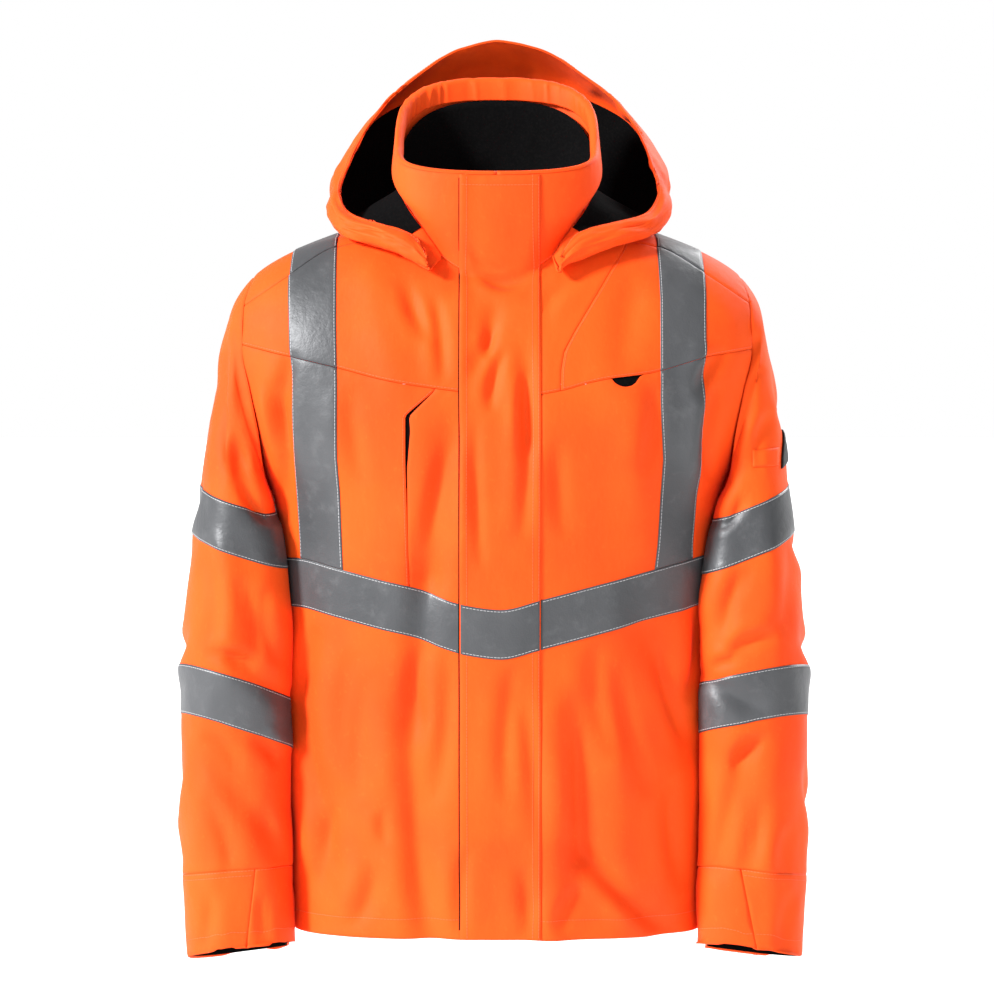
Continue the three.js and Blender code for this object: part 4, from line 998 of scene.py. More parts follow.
def sew_stitches(name, material, nodes=()):
    """All the stitches so far as one piece of thread."""
    mesh = bmesh.new()
    for a, b, n, width, stand in STITCHES:
        along = Vector(b - a)
        up = Vector(n).normalized()
        x_axis = along.normalized()
        y_axis = up.cross(x_axis).normalized()
        up = x_axis.cross(y_axis)
        middle = Vector((a + b) / 2) + up * (stand * 0.5)
        turn = Matrix((x_axis, y_axis, up)).transposed().to_4x4()
        size = Matrix.Diagonal((along.length, width, stand + 0.34, 1))
        place = Matrix.Scale(MM, 4) @ Matrix.Translation(middle) @ turn @ size
        bmesh.ops.create_cube(mesh, size=1, matrix=place)
    data = bpy.data.meshes.new(name)
    mesh.to_mesh(data)
    mesh.free()
    data.materials.append(material)
    piece = bpy.data.objects.new(name, data)
    bpy.context.scene.collection.objects.link(piece)
    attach(piece, "root")
    STITCHES.clear()
    return piece


# Materials: small helpers for shader maths
class Value:
    """A shader number: plain arithmetic on it adds Math nodes."""

    def __init__(self, paint, socket):
        self.paint, self.socket = paint, socket

    def math(self, operation, *others):
        return self.paint.add("ShaderNodeMath", {"operation": operation}, [self, *others])

    def __add__(self, other):
        return self.math("ADD", other)

    def __sub__(self, other):
        return self.math("SUBTRACT", other)

    def __mul__(self, other):
        return self.math("MULTIPLY", other)

    def __truediv__(self, other):
        return self.math("DIVIDE", other)

    def __rsub__(self, other):
        return self.paint.add("ShaderNodeMath", {"operation": "SUBTRACT"}, [other, self])

    __radd__ = __add__
    __rmul__ = __mul__

    def between(self, low, high):
        """0 below low, 1 above high, smooth in between."""
        settings = {"interpolation_type": "SMOOTHSTEP"}
        return self.paint.add("ShaderNodeMapRange", settings, {"Value": self, "From Min": low, "From Max": high})


class Paint:
    """One material and its nodes."""

    def __init__(self, name):
        self.material = bpy.data.materials.new(name)
        self.material.use_nodes = True
        self.tree = self.material.node_tree
        self.tree.nodes.clear()
        self.output = self.tree.nodes.new("ShaderNodeOutputMaterial")
        self.place = Value(self, self.tree.nodes.new("ShaderNodeTexCoord").outputs["Object"])

    def add(self, kind, settings=None, inputs=None, output=0):
        node = self.tree.nodes.new(kind)
        for key, value in (settings or {}).items():
            setattr(node, key, value)
        pairs = enumerate(inputs) if isinstance(inputs, (list, tuple)) else (inputs or {}).items()
        for key, value in pairs:
            socket = node.inputs[key]
            if isinstance(value, Value):
                self.tree.links.new(value.socket, socket)
            else:
                socket.default_value = value
        return Value(self, node.outputs[output])

    def noise(self, scale, detail=3.0, roughness=0.55, vector=None, stretch=None):
        vector = vector or self.place
        if stretch:
            vector = self.add("ShaderNodeVectorMath", {"operation": "MULTIPLY"}, [vector, stretch])
        inputs = {"Vector": vector, "Scale": scale, "Detail": detail, "Roughness": roughness}
        return self.add("ShaderNodeTexNoise", {"noise_dimensions": "3D"}, inputs)

    def uv(self, name):
        both = self.add("ShaderNodeUVMap", {"uv_map": name})
        u = self.add("ShaderNodeSeparateXYZ", None, [both], 0)
        v = self.add("ShaderNodeSeparateXYZ", None, [both], 1)
        return u, v

    def mix(self, factor, first, second):
        settings = {"data_type": "RGBA"}
        node = self.tree.nodes.new("ShaderNodeMix")
        node.data_type = settings["data_type"]
        for key, value in ((0, factor), (6, first), (7, second)):
            if isinstance(value, Value):
                self.tree.links.new(value.socket, node.inputs[key])
            else:
                node.inputs[key].default_value = value
        return Value(self, node.outputs[2])

    def bump(self, height, distance, strength=1.0):
        inputs = {"Strength": strength, "Distance": distance, "Height": height}
        return self.add("ShaderNodeBump", None, inputs)

    def finish(self, color, roughness, normal, **fixed):
        shader = self.tree.nodes.new("ShaderNodeBsdfPrincipled")
        for key, value in (("Base Color", color), ("Roughness", roughness), ("Normal", normal)):
            if isinstance(value, Value):
                self.tree.links.new(value.socket, shader.inputs[key])
            elif value is not None:
                shader.inputs[key].default_value = value
        for key, value in fixed.items():
            shader.inputs[key.replace("_", " ")].default_value = value
        self.tree.links.new(shader.outputs[0], self.output.inputs["Surface"])
        return self.material


def weave(paint, pitch):
    """Height of a plain weave from 0 to 1, from the cloth's own flat sizes."""
    u, v = paint.uv("cloth")
    warp = (u * (2 * math.pi / pitch)).math("SINE")
    weft = (v * (2 * math.pi / pitch)).math("SINE")
    return warp * weft * 0.5 + 0.5


def shell_cloth(name, base, deep, worn):
    """Coated woven polyester: fine weave, soft crinkles, slight fading in fine random spots."""
    paint = Paint(name)
    threads = weave(paint, 0.0009)
    crinkle = paint.noise(38, 4.0, 0.6, stretch=(1.0, 1.0, 0.55))
    fine = paint.noise(160, 3.0, 0.6)
    patches = paint.noise(7, 3.0, 0.55)
    side, end = paint.uv("edge")
    # darker within about 4.5 mm of each piece's edge, mixed toward the deep colour: painted shade along the seams
    seam_shade = 1.0 - side.math("MINIMUM", end).between(0.0004, 0.0045)
    color = paint.mix(patches.between(0.35, 0.7), base, deep)
    color = paint.mix(fine.between(0.55, 0.8) * 0.35, color, worn)
    color = paint.mix(seam_shade * 0.3, color, deep)
    height = threads * 0.05 + crinkle * 1.0 + fine * 0.16
    roughness = 0.56 + crinkle * 0.16
    normal = paint.bump(height, 0.0016, 0.55)
    return paint.finish(color, roughness, normal, Sheen_Weight=0.02, Sheen_Roughness=0.5, Specular_IOR_Level=0.15)


def tape_cloth(name, base, dark, light):
    """Reflective tape: grey, satin, with fine glass-bead bumps, lighter mottled patches of painted sheen, and soft
    creases.
    """
    paint = Paint(name)
    beads = paint.noise(900, 2.0, 0.7)
    sheen_mottle = paint.noise(60, 4.0, 0.65)
    broad = paint.noise(14, 2.0, 0.5, stretch=(1.0, 1.0, 0.7))
    side, end = paint.uv("edge")
    # the mask named hem darkens the tape within 2.6 mm of its edges: painted shade along the rolled edges
    hem = 1.0 - side.math("MINIMUM", end).between(0.0004, 0.0026)
    color = paint.mix(broad.between(0.3, 0.7), dark, base)
    # lighter mottled patches toward the light colour: painted sheen
    color = paint.mix(sheen_mottle.between(0.5, 0.8) * 0.45, color, light)
    color = paint.mix(hem * 0.35, color, dark)
    height = sheen_mottle * 0.8 + beads * 0.08 + broad * 0.8
    normal = paint.bump(height, 0.0016, 0.7)
    return paint.finish(color, 0.34 + sheen_mottle * 0.22, normal, Metallic=0.2, Specular_IOR_Level=0.4)


def lining_cloth(name, base, light):
    """Matt brushed lining with a short uneven pile."""
    paint = Paint(name)
    pile = paint.noise(420, 3.0, 0.7)
    broad = paint.noise(22, 3.0, 0.6)
    color = paint.mix(pile.between(0.4, 0.75) * 0.6, base, light)
    normal = paint.bump(pile * 0.5 + broad * 1.2, 0.0014, 0.6)
    return paint.finish(color, 0.95, normal, Specular_IOR_Level=0.04)


def webbing(name, base, light):
    """Woven tab with fine ribs."""
    paint = Paint(name)
    u, v = paint.uv("cloth")
    ribs = (v * (2 * math.pi / 0.0016)).math("SINE") * 0.5 + 0.5
    threads = weave(paint, 0.0008)
    color = paint.mix(ribs * threads * 0.5, base, light)
    return paint.finish(color, 0.6, paint.bump(ribs + threads * 0.4, 0.0005, 0.6), Specular_IOR_Level=0.3)


def thread(name, base, light):
    paint = Paint(name)
    twist = paint.noise(2600, 2.0, 0.5)
    return paint.finish(paint.mix(twist, base, light), 0.62, paint.bump(twist, 0.0002, 0.5))


def steel(name, base, light):
    paint = Paint(name)
    brush = paint.noise(700, 3.0, 0.6, stretch=(1.0, 1.0, 6.0))
    normal = paint.bump(brush, 0.0001, 0.3)
    return paint.finish(paint.mix(brush, base, light), 0.24 + brush * 0.16, normal, Metallic=0.95)


# Shell colours: base, deep (random patches and the painted seam shade) and worn
ORANGE = shell_cloth("shell_orange", (0.92, 0.082, 0.005, 1), (0.86, 0.062, 0.004, 1), (0.94, 0.105, 0.01, 1))
# Tape colours: base, dark, and the light colour of the painted sheen patches
TAPE_GREY = tape_cloth("tape_grey", (0.076, 0.078, 0.083, 1), (0.052, 0.054, 0.058, 1), (0.115, 0.117, 0.122, 1))
BLACK = lining_cloth("lining_black", (0.0022, 0.0022, 0.0024, 1), (0.006, 0.0057, 0.0057, 1))
TAB = webbing("tab_black", (0.004, 0.004, 0.0045, 1), (0.02, 0.02, 0.022, 1))
THREAD = thread("thread_orange", (0.72, 0.05, 0.008, 1), (0.95, 0.16, 0.04, 1))
GREY_THREAD = thread("thread_grey", (0.3, 0.3, 0.31, 1), (0.5, 0.5, 0.52, 1))
DARK_THREAD = thread("thread_black", (0.004, 0.004, 0.004, 1), (0.03, 0.03, 0.03, 1))
STEEL = steel("snap_steel", (0.45, 0.44, 0.43, 1), (0.7, 0.69, 0.67, 1))


# Fronts
OPEN_R = edge(constant(FRONT_OPENING - HALF_GAP))
OPEN_L = edge(constant(FRONT_OPENING + HALF_GAP))
MOUTH = edge(straight([[x + HALF_GAP, z] for x, z in POCKET_MOUTH], at_height=True))
POCKET = edge(straight([[x - HALF_GAP, z] for x, z in POCKET_SEAM], at_height=True))
MOON_EDGE = straight(MOON)


def hem(x):
    """Height of the hem, lowest row of the body, at an x on the front."""
    turns = np.linspace(0, math.pi / 2, 90)
    ring = body_base(turns, np.zeros(90))
    return np.interp(np.abs(x), ring[:, 0], ring[:, 2])


def hem_back(x):
    turns = np.linspace(math.pi / 2, math.pi, 90)[::-1]
    ring = body_base(turns, np.zeros(90))
    return np.interp(np.abs(x), ring[:, 0], ring[:, 2])


def band_low(x):
    return BAND_TOP(x) - BAND_DROP


def band_middle(x):
    return BAND_TOP(x) - BAND_DROP / 2


def below(seam_line):
    return lambda x: seam_line(x) - HALF_GAP


def above(seam_line):
    return lambda x: seam_line(x) + HALF_GAP


def yoke_top(x):
    return np.minimum(shoulder_seam(x) - HALF_GAP, np.where(np.abs(x) < 79.9, neck_seam(x), 1000))


def panel(left, right, low, high, width, height, lift=0.0, step=GRID):
    turn, at = patch(left, right, low, high, width, height, step)
    return body_surface(turn, at, lift)


def yoke_panel(left_x, right_x, low, high, width, height, lift=0.0):
    turn, at = patch_by_x(left_x, right_x, low, high, width, height)
    return body_surface(turn, at, lift)


def moon_dip(x):
    inside = (x > 111) & (x < 139)
    return np.where(inside, MOON_EDGE(np.clip(x, 111, 139)), CHEST_L(x)) - HALF_GAP


side_panel = sew(panel(RIGHT_EDGE, POCKET, above(band_middle), below(chest_seam), 190, 240), "lrt", seed=1)
cloth("front_right_side", side_panel, ORANGE, ["front_right_side"], SHELL, (0.2, 0.26))
right_top = sew(panel(MOUTH, OPEN_R, above(band_middle), below(chest_seam), 95, 215), "lt", seed=2)
right_low = sew(panel(RIGHT_EDGE, OPEN_R, hem, band_middle, 290, 330), "lb", seed=3)
cloth("front_right", [right_top, right_low], ORANGE, ["front_right"], SHELL, (0.33, 0.56))
left_front = sew(panel(OPEN_L, LEFT_EDGE, hem, moon_dip, 290, 540), "rbt", seed=4)
cloth("front_left", left_front, ORANGE, ["front_left"], SHELL, (0.33, 0.56))
yoke_r = yoke_panel(arm_side(-1), constant(FRONT_OPENING - HALF_GAP), above(chest_seam), yoke_top, 270, 115)
yoke_r = sew(yoke_r, "lbt", seed=5)
cloth("yoke_right", yoke_r, ORANGE, ["yoke_right"], SHELL, (0.29, 0.15))
PANEL_IN = straight([[x - HALF_GAP, z] for x, z in CHEST_PANEL], at_height=True)
PANEL_OUT = straight([[x + HALF_GAP, z] for x, z in CHEST_PANEL], at_height=True)
yoke_l = yoke_panel(constant(FRONT_OPENING + HALF_GAP), PANEL_IN, above(chest_seam), yoke_top, 85, 115)
yoke_l = sew(yoke_l, "rbt", seed=6)
cloth("yoke_left", yoke_l, ORANGE, ["yoke_left"], SHELL, (0.13, 0.15))
chest_panel = yoke_panel(PANEL_OUT, arm_side(1), above(chest_seam), below(shoulder_seam), 190, 105)
chest_panel = sew(chest_panel, "lrbt", seed=7)
cloth("chest_panel_left", chest_panel, ORANGE, ["chest_panel_left"], SHELL, (0.2, 0.14))


def box_patch(left, low, right, high, lift):
    return panel(edge(constant(left)), edge(constant(right)), constant(low), constant(high), right - left,
                 high - low, lift, step=6)


cloth("pocket_bag_right", box_patch(-108, -250, -64, -160, -2.0), BLACK, ["pocket_bag_right"], 0.9,
      (0.045, 0.09))
cloth("pocket_bag_left", box_patch(98, -190, 150, -124, -2.0), BLACK, ["pocket_bag_left"], 0.9,
      (0.052, 0.068))

# Back and its yoke over the shoulders
back = sew(panel(BACK_LEFT_EDGE, BACK_RIGHT_EDGE, hem_back, constant(BACK_SEAM - HALF_GAP), 600, 530), "lrbt", seed=8)
cloth("back", back, ORANGE, ["back_upper", "back"], SHELL, (0.6, 0.55))
yoke_x = np.concatenate([
    -np.array([240, 239.2, 238, 236, 233]), -np.linspace(229.5, YOKE_NECK_X, 46),
    np.linspace(-YOKE_NECK_X, YOKE_NECK_X, 42)[1:-1],
    np.linspace(YOKE_NECK_X, 229.5, 46), np.array([233, 236, 238, 239.2, 240]),
])[::-1]
low_turn, low_row = lines(rise, yoke_x, graded(175))
lower_yoke = body_surface(low_turn, low_row)
front_share = np.concatenate([[0], np.linspace(0.04, 0.93, 24), [0.97, 0.988, 1]])
left_x, right_x = yoke_x[yoke_x >= YOKE_NECK_X], yoke_x[yoke_x <= -YOKE_NECK_X]
upper_left = body_surface(*lines(fall, left_x, front_share))
upper_right = body_surface(*lines(fall, right_x, front_share))
cloth("back_yoke", [sew(lower_yoke, "lrb", seed=9), sew(upper_left, "lt", seed=10), sew(upper_right, "rt", seed=11)],
      ORANGE, ["back_yoke", "shoulder_right", "shoulder_left"], SHELL, (0.56, 0.34),
      weld=True)

# Collar, its edge and lining
ring = np.linspace(0, 2 * math.pi, 190)
collar_turn, collar_at = np.meshgrid(ring, NECK_ROW + 0.005 + (COLLAR_ROW - NECK_ROW - 0.005) * graded(90))
collar = sew(body_surface(collar_turn, collar_at), "bt", seed=12)
cloth("collar", collar, ORANGE, ["collar"], SHELL, (0.6, 0.1), closed=True)


def collar_frame(turn, at):
    """Point of the collar with its rise and outward directions."""
    p = body_surface(turn, at)
    higher = unit(body_base(turn, at) - body_base(turn, at - 0.2))
    along = unit(body_base(turn + 0.02, at) - body_base(turn - 0.02, at))
    return p, higher, unit(np.cross(along, higher))


EDGE_PROFILE = Table("inward up", [[0.1, 0.4], [1.2, 3.0], [3.4, 4.2], [6.6, 3.0], [9.4, -1.5], [9.8, -9], [9.0, -20]])
ring = np.linspace(0, 2 * math.pi, 320)
edge_turn, edge_step = np.meshgrid(ring, np.linspace(0, 6, 26))
p, higher, outward = collar_frame(edge_turn, np.full(edge_turn.shape, float(COLLAR_ROW)))
inward, up = EDGE_PROFILE.read(edge_step, "inward up")
behind = (1 - np.cos(edge_turn)) / 2
up = np.where(up < 0, up * (0.5 + 0.5 * behind), up)
gather = 1 - 2 * np.abs(np.sin(edge_turn * 15 + 2.0 * unevenness(edge_turn * 5, edge_turn * 0, 31) + edge_step * 0.12)) ** 0.5
gather = -gather * (0.6 + 0.4 * unevenness(edge_turn * 9, edge_turn * 0 + 4, 32)) * behind
swell = np.clip(edge_step / 1.5, 0, 1) * (1 - 0.4 * np.clip((edge_step - 4) / 2, 0, 1))
inward = inward - gather * swell * 1.7
up = up + gather * swell * 0.9
collar_edge = p - outward * inward[..., None] + higher * up[..., None]
cloth("collar_edge", collar_edge, ORANGE, ["collar_edge"], 1.2, (0.5, 0.035), closed=True)
ring = np.linspace(0, 2 * math.pi, 160)
lining_turn, share = np.meshgrid(ring, np.linspace(0, 1, 26))
rise_back = (1 - np.cos(lining_turn)) / 2
lining_row = 17.1 + 1.85 * share + 0.5 * rise_back * np.clip(share * 2 - 1, 0, 1)
lining_in = np.interp(share, [0, 0.6, 1], [2.6, 4.2, 8.4])
p, higher, outward = collar_frame(lining_turn, lining_row)
crease = 0.7 * unevenness(lining_turn * 7, share * 3, 35) * np.sin(math.pi * share)
lining = p - outward * (lining_in + crease)[..., None]
cloth("collar_lining", lining[::-1, ::-1], BLACK, ["collar_lining"], -0.9, (0.5, 0.08),
      closed=True)

# Storm flap from the hem to the top of the collar
rows_dense = np.linspace(0, COLLAR_ROW, 400)
front_z = BODY.read(rows_dense, "front_z")[0]
flap_rows = np.interp(-694 + 743.4 * graded(740), front_z, rows_dense)
flap_x = FLAP_RIGHT + (FLAP_LEFT - FLAP_RIGHT) * graded(78, 2.6)
flap_x, flap_rows = np.meshgrid(flap_x, flap_rows)
half_width, corner = BODY.read(flap_rows, "half_width corner")
flap_turn = np.sign(flap_x) * np.arcsin((np.abs(flap_x) / half_width) ** (1 / corner))
flap_z = body_height(flap_turn, flap_rows)
open_edge = np.exp(-(((flap_x - FLAP_RIGHT) / 9) ** 2)) * np.clip((flap_z + 380) / 60, 0, 1)
flap_lift = LIFT + FLAP + 2.2 * open_edge * (1 + 0.4 * unevenness(flap_z / 50, flap_z * 0, 41))
flap = sew(body_surface(flap_turn, flap_rows, flap_lift), "lrt", pucker=0.35, roll=0.7, seed=13)
cloth("storm_flap", flap, ORANGE, ["storm_flap"], FLAP, (0.08, 0.76))

# Black strip just past the storm flap's free edge: zip tape near the collar, and down to the hem a painted shadow line
# under the flap's edge
zip_rows = np.interp(-684 + 730 * graded(730), front_z, rows_dense)
zip_x, zip_rows = np.meshgrid(FLAP_RIGHT + np.linspace(-1.3, 10.7, 6), zip_rows)
half_width, corner = BODY.read(zip_rows, "half_width corner")
zip_turn = -np.arcsin((np.abs(zip_x) / half_width) ** (1 / corner))
zip_tape_and_shadow_strip = body_surface(zip_turn, zip_rows, 1.1)
cloth("zip_tape_and_shadow_strip", zip_tape_and_shadow_strip, BLACK, [], 0.7, (0.012, 0.73))

# Tape
FLAP_R, FLAP_L = edge(constant(FLAP_RIGHT - 0.3)), edge(constant(FLAP_LEFT + 0.3))
ON_BODY = LIFT + TAPE
band_r = sew(panel(RIGHT_EDGE, FLAP_R, band_low, BAND_TOP, 260, 49, ON_BODY), "bt", 0.2, 0.4, 14)
cloth("band_right", band_r, TAPE_GREY, ["band_right"], TAPE, (0.25, 0.05))
band_l = sew(panel(FLAP_L, LEFT_EDGE, band_low, BAND_TOP, 260, 49, ON_BODY), "bt", 0.2, 0.4, 15)
cloth("band_left", band_l, TAPE_GREY, ["band_left"], TAPE, (0.24, 0.05))
band_f = panel(edge(constant(FLAP_RIGHT + 1)), edge(constant(FLAP_LEFT - 1)), band_low, BAND_TOP, 76, 49,
               2 * LIFT + FLAP + TAPE)
bulge = 2.2 * np.exp(-(((band_f[..., 0] - FLAP_RIGHT) / 9) ** 2)) * np.clip((band_f[..., 2] + 380) / 60, 0, 1)
band_f = sew(band_f + grid_normals(band_f) * bulge[..., None], "lrbt", 0.2, 0.4, 16)
cloth("band_flap", band_f, TAPE_GREY, ["band_flap"], TAPE, (0.078, 0.05))
band_b = panel(BACK_LEFT_EDGE, BACK_RIGHT_EDGE, constant(BAND_BACK_Z - BAND_DROP), constant(BAND_BACK_Z), 560, 49,
               ON_BODY)
band_b = sew(band_b, "bt", 0.2, 0.4, 17)
cloth("band_back", band_b, TAPE_GREY, ["band_back"], TAPE, (0.56, 0.05))

SIDES = {"right": -1, "left": 1}
brace_seams = []
for name, side in SIDES.items():
    heights, outer, inner = BRACES.rows[:, 0], *BRACES.read(np.arange(8), f"outer_{name} inner_{name}")

    def brace_edge(values, back=False, side=side, heights=heights):
        return edge(lambda z: side * np.interp(z, heights, values), back)

    ends = (outer, inner) if side < 0 else (inner, outer)
    left, right = brace_edge(ends[0]), brace_edge(ends[1])
    brace_x = [lambda z, k=k, side=side, heights=heights: side * np.interp(z, heights, k) for k in ends]
    runs = {
        "front": (lambda x: BAND_TOP(x) + 0.3, below(chest_seam), 205),
        "yoke": (above(chest_seam), below(shoulder_seam), 115),
    }
    for part, (low, high, height) in runs.items():
        if part == "front":
            grid = sew(panel(left, right, low, high, 46, height, ON_BODY), "lrt", 0.25, 0.45, 18)
        else:
            grid = yoke_panel(*brace_x, low, high, 46, height, ON_BODY)
            grid = sew(grid, "lrbt", 0.25, 0.45, 18)
        brace_seams.append(grid)
        cloth(f"brace_{name}_{part}", grid, TAPE_GREY, [f"brace_{name}_{part}"], TAPE,
              (0.05, height * MM))
    xs = side * np.linspace(203, 157.5, 14) if side < 0 else np.linspace(203, 157.5, 14)
    xs = xs if side > 0 else xs[::-1]
    low_part = lines(rise, xs, np.linspace(0, 1, 44))
    high_part = lines(fall, xs, np.linspace(0, 1, 26))
    turn = np.vstack([low_part[0], high_part[0][1:]])
    row = np.vstack([low_part[1], high_part[1][1:]])
    grid = sew(body_surface(turn, row, ON_BODY), "lrbt", 0.25, 0.45, 19)
    brace_seams.append(grid)
    cloth(f"brace_{name}_shoulder", grid, TAPE_GREY, [f"brace_{name}_shoulder"], TAPE, (0.05, 0.27))
    ends = (inner, outer) if side < 0 else (outer, inner)
    left, right = brace_edge(ends[0], True), brace_edge(ends[1], True)
    grid = panel(left, right, constant(BAND_BACK_Z + 0.3), constant(BACK_SEAM - HALF_GAP), 48, 158, ON_BODY)
    grid = sew(grid, "lrt", 0.25, 0.45, 20)
    brace_seams.append(grid)
    cloth(f"brace_{name}_back", grid, TAPE_GREY, [f"brace_{name}_back"], TAPE, (0.05, 0.16))

# Sleeves, cuffs and their tape
sleeve_grids = {}
for name, side in SIDES.items():
    sleeve = sew(sleeve_cloth(side), "bt", 0.35, 0.6, 22)
    sleeve_grids[name] = sleeve
    nodes = [f"sleeve_{name}", f"sleeve_elbow_{name}", f"forearm_{name}"]
    cloth(f"sleeve_{name}", sleeve, ORANGE, nodes, SHELL, (0.4, 0.6),
          closed=True)
    for part, lift in (("arm", ON_BODY), ("forearm", -ON_BODY)):
        strap = sew(sleeve_band(side, name, lift), "bt", 0.2, 0.4, 23)
        sleeve_grids[name, part] = strap
        node = f"band_{part}_{name}"
        cloth(node, strap, TAPE_GREY, [node], TAPE, (0.43, 0.05), closed=True)
    outer, inner = cuff_parts(side, name)
    outer, inner = sew(outer, "lrbt", 0.4, 0.6, 24), sew(inner, "lrbt", 0.4, 0.6, 25)
    sleeve_grids[name, "cuff"], sleeve_grids[name, "gusset"] = outer, inner
    cloth(f"cuff_{name}", outer, ORANGE, [f"cuff_{name}"], SHELL, (0.19, 0.085))
    cloth(f"cuff_gusset_{name}", inner, ORANGE, [f"cuff_gusset_{name}"], SHELL, (0.16, 0.085))
    turns, ats = np.meshgrid(around_sleeve(side, 90), np.linspace(12.94, 12.15, 20))
    inside = sleeve_surface(side, turns, ats, -CLOTH_IN)
    cloth(f"inner_cuff_{name}", inside, BLACK, [f"inner_cuff_{name}"], 0.9, (0.32, 0.072),
          closed=True)

spots_x, spots_z = np.meshgrid(np.linspace(250, 277, 10), np.linspace(-234, -217, 7))
patch_turn, patch_at = on_sleeve(spots_x, spots_z)
sleeve_patch = sew(sleeve_surface(1, patch_turn, patch_at, LIFT + 0.8), "lrbt", 0.1, 0.3, 26)
cloth("sleeve_patch_left", sleeve_patch, ORANGE, ["sleeve_patch_left"], 0.8, (0.032, 0.018))
tab_x, tab_z = np.meshgrid(np.full(16, 279.5), np.linspace(-238, -203, 12))
tab_turn, tab_at = on_sleeve(tab_x, tab_z)
past = tab_turn[:, :1] + (math.radians(169) - tab_turn[:, :1]) * np.linspace(0, 1, 16)
sleeve_tab = sew(sleeve_surface(1, past, tab_at, LIFT + 2.2), "lrbt", 0.1, 0.5, 27)
cloth("sleeve_tab_left", sleeve_tab, TAB, ["sleeve_tab_left"], 2.0, (0.026, 0.035))

# Hood
top_edge = constant(0)
seam_row = lambda a: facing_at(a) + (4 - facing_at(a)) * 0.6
neck_row = constant(4)
hood_pieces = {}
for name, start, end, count, sides in (
    ("right", -10, -2.7, 84, "lrtb"), ("middle", -2.7, 2.7, 62, "lrtb"), ("left", 2.7, 10, 84, "lrtb"),
):
    grid = hood_part(start, end, top_edge, seam_row, graded(300, 300 / count), graded(180), 0.7)
    grid = sew(grid, sides.replace("l", "", name == "right").replace("r", "", name == "left"), 0.4, 0.6, 28)
    hood_pieces[name] = grid
    flat, area = ((0.28, 0.24), 0.059) if name == "middle" else ((0.22, 0.13), 0.0205)
    cloth(f"hood_{name}", grid, ORANGE, [f"hood_{name}"], 1.4, flat)
neck_strip = hood_part(-10, 10, seam_row, neck_row, graded(700), graded(60), 0.7)
cloth("hood_neck", neck_strip, ORANGE, ["hood_neck"], 1.4, (0.66, 0.13))
facing = hood_part(-8, 8, lambda a: facing_at(a) * 0 + 0.02, lambda a: facing_at(a) - 0.01, graded(560), graded(60), -1.0)
facing = sew(facing, "b", 0.5, 0.3, 29)
facing_across, facing_down = np.meshgrid(-8 + 16 * graded(560), graded(60))
wrinkle = np.maximum(0, unevenness(facing_across * 4.1 + facing_down * 2, facing_down * 1.7, 51))
wrinkle *= 6 * np.sin(math.pi * facing_down) * np.clip((np.abs(facing_across) - 1.5) / 1.5, 0, 1)
facing = facing - grid_normals(facing) * wrinkle[..., None]
cloth("hood_facing", facing, ORANGE, ["hood_facing"], 0.9, (0.6, 0.045))
hood_lining = hood_part(-8, 8, lambda a: facing_at(a) + 0.01, constant(3.97), graded(560, 5), graded(220, 5), -1.0)
cloth("hood_lining", hood_lining, BLACK, ["hood_lining"], 0.9, (0.6, 0.26))

# Top-stitching
stitch_line(flap, "l", 7)
stitch_line(flap, "r", 2)
stitch_line(flap, "r", 8)
stitch_line(flap, "t", 10)
stitch_line(yoke_r, "b", 2.2)
stitch_line(yoke_l, "b", 2.2)
stitch_line(chest_panel, "b", 2.2)
stitch_line(chest_panel, "l", 2.2)
stitch_line(side_panel, "r", 2.4)
stitch_line(right_low, "b", 20)
stitch_line(left_front, "b", 20)
stitch_line(back, "b", 20)
stitch_line(back, "t", 2.2)
for name in SIDES:
    stitch_line(sleeve_grids[name, "cuff"], "t", 2)
    stitch_line(sleeve_grids[name, "cuff"], "t", 7)
    stitch_line(sleeve_grids[name, "gusset"], "t", 2)
    stitch_line(sleeve_grids[name, "cuff"], "b", 16)
    stitch_line(sleeve_grids[name, "gusset"], "b", 16)
for name in hood_pieces:
    stitch_line(hood_pieces[name], "b", 3)
stitch_line(collar, "b", 2.2)
sew_stitches("stitches_shell", THREAD)
for grid in brace_seams:
    stitch_line(grid, "l", 2)
    stitch_line(grid, "r", 2)
for grid in (band_r, band_l, band_f, band_b, *(sleeve_grids[n, p] for n in SIDES for p in ("arm", "forearm"))):
    stitch_line(grid, "t", 2)
    stitch_line(grid, "b", 2)
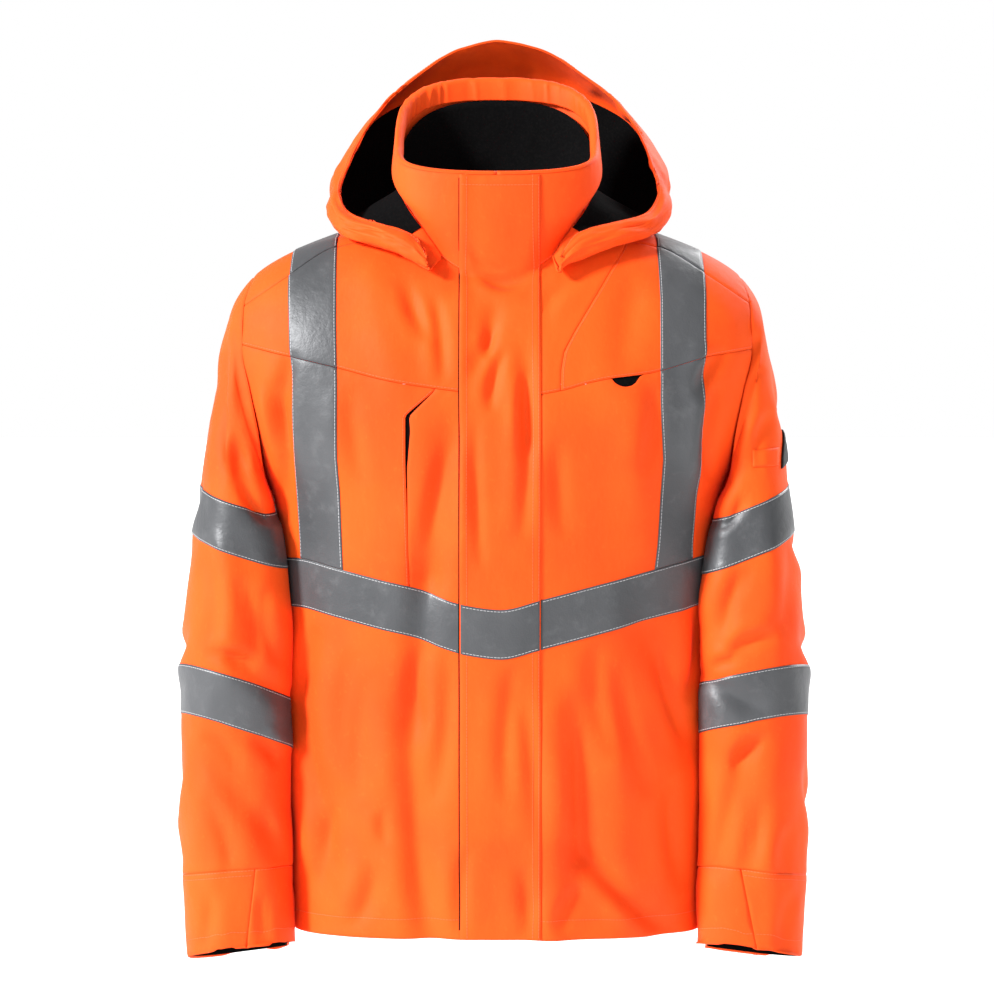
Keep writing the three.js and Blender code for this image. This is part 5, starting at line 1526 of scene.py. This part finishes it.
sew_stitches("stitches_tape", GREY_THREAD)

# Camera, light and floor
floor_mesh = bmesh.new()
bmesh.ops.create_grid(floor_mesh, x_segments=1, y_segments=1, size=14)
floor_data = bpy.data.meshes.new("floor")
floor_mesh.to_mesh(floor_data)
floor_mesh.free()
floor = bpy.data.objects.new("floor", floor_data)
floor.location.z = -1.45
bpy.context.scene.collection.objects.link(floor)
plain = Paint("floor_pale")
floor_data.materials.append(plain.finish((0.9, 0.9, 0.9, 1), 0.9, None))

world = bpy.data.worlds.new("studio")
world.use_nodes = True
sky = world.node_tree.nodes
height = sky.new("ShaderNodeSeparateXYZ")
world.node_tree.links.new(sky.new("ShaderNodeTexCoord").outputs["Generated"], height.inputs[0])
dimmer = sky.new("ShaderNodeMapRange")
for key, value in (("From Min", 0.06), ("From Max", 0.4), ("To Min", 1.0), ("To Max", 0.5)):
    dimmer.inputs[key].default_value = value
world.node_tree.links.new(height.outputs[2], dimmer.inputs["Value"])
world.node_tree.links.new(dimmer.outputs[0], sky["Background"].inputs["Strength"])
sky["Background"].inputs["Color"].default_value = (1, 1, 1, 1)
bpy.context.scene.world = world


def sunlight(name, toward, strength, softness):
    """A broad soft light that comes from one side of the studio."""
    lamp = bpy.data.lights.new(name, "SUN")
    lamp.energy = strength
    lamp.angle = math.radians(softness)
    lamp_object = bpy.data.objects.new(name, lamp)
    lamp_object.rotation_euler = Vector(toward).to_track_quat("-Z", "Y").to_euler()
    bpy.context.scene.collection.objects.link(lamp_object)


sunlight("key", (0.98, 0.52, -0.6), 6.8, 12)
sunlight("back_key", (-0.6, -0.8, -0.6), 3.0, 30)

lens = bpy.data.cameras.new("camera")
lens.lens = 126.8
lens.sensor_width = 36
camera = bpy.data.objects.new("camera", lens)
camera.location = (0, -3.481, 0.094)
camera.rotation_euler = (Vector((0, 0, -0.272)) - camera.location).to_track_quat("-Z", "Y").to_euler()
bpy.context.scene.collection.objects.link(camera)
bpy.context.scene.camera = camera
bpy.context.scene.view_settings.view_transform = "Standard"
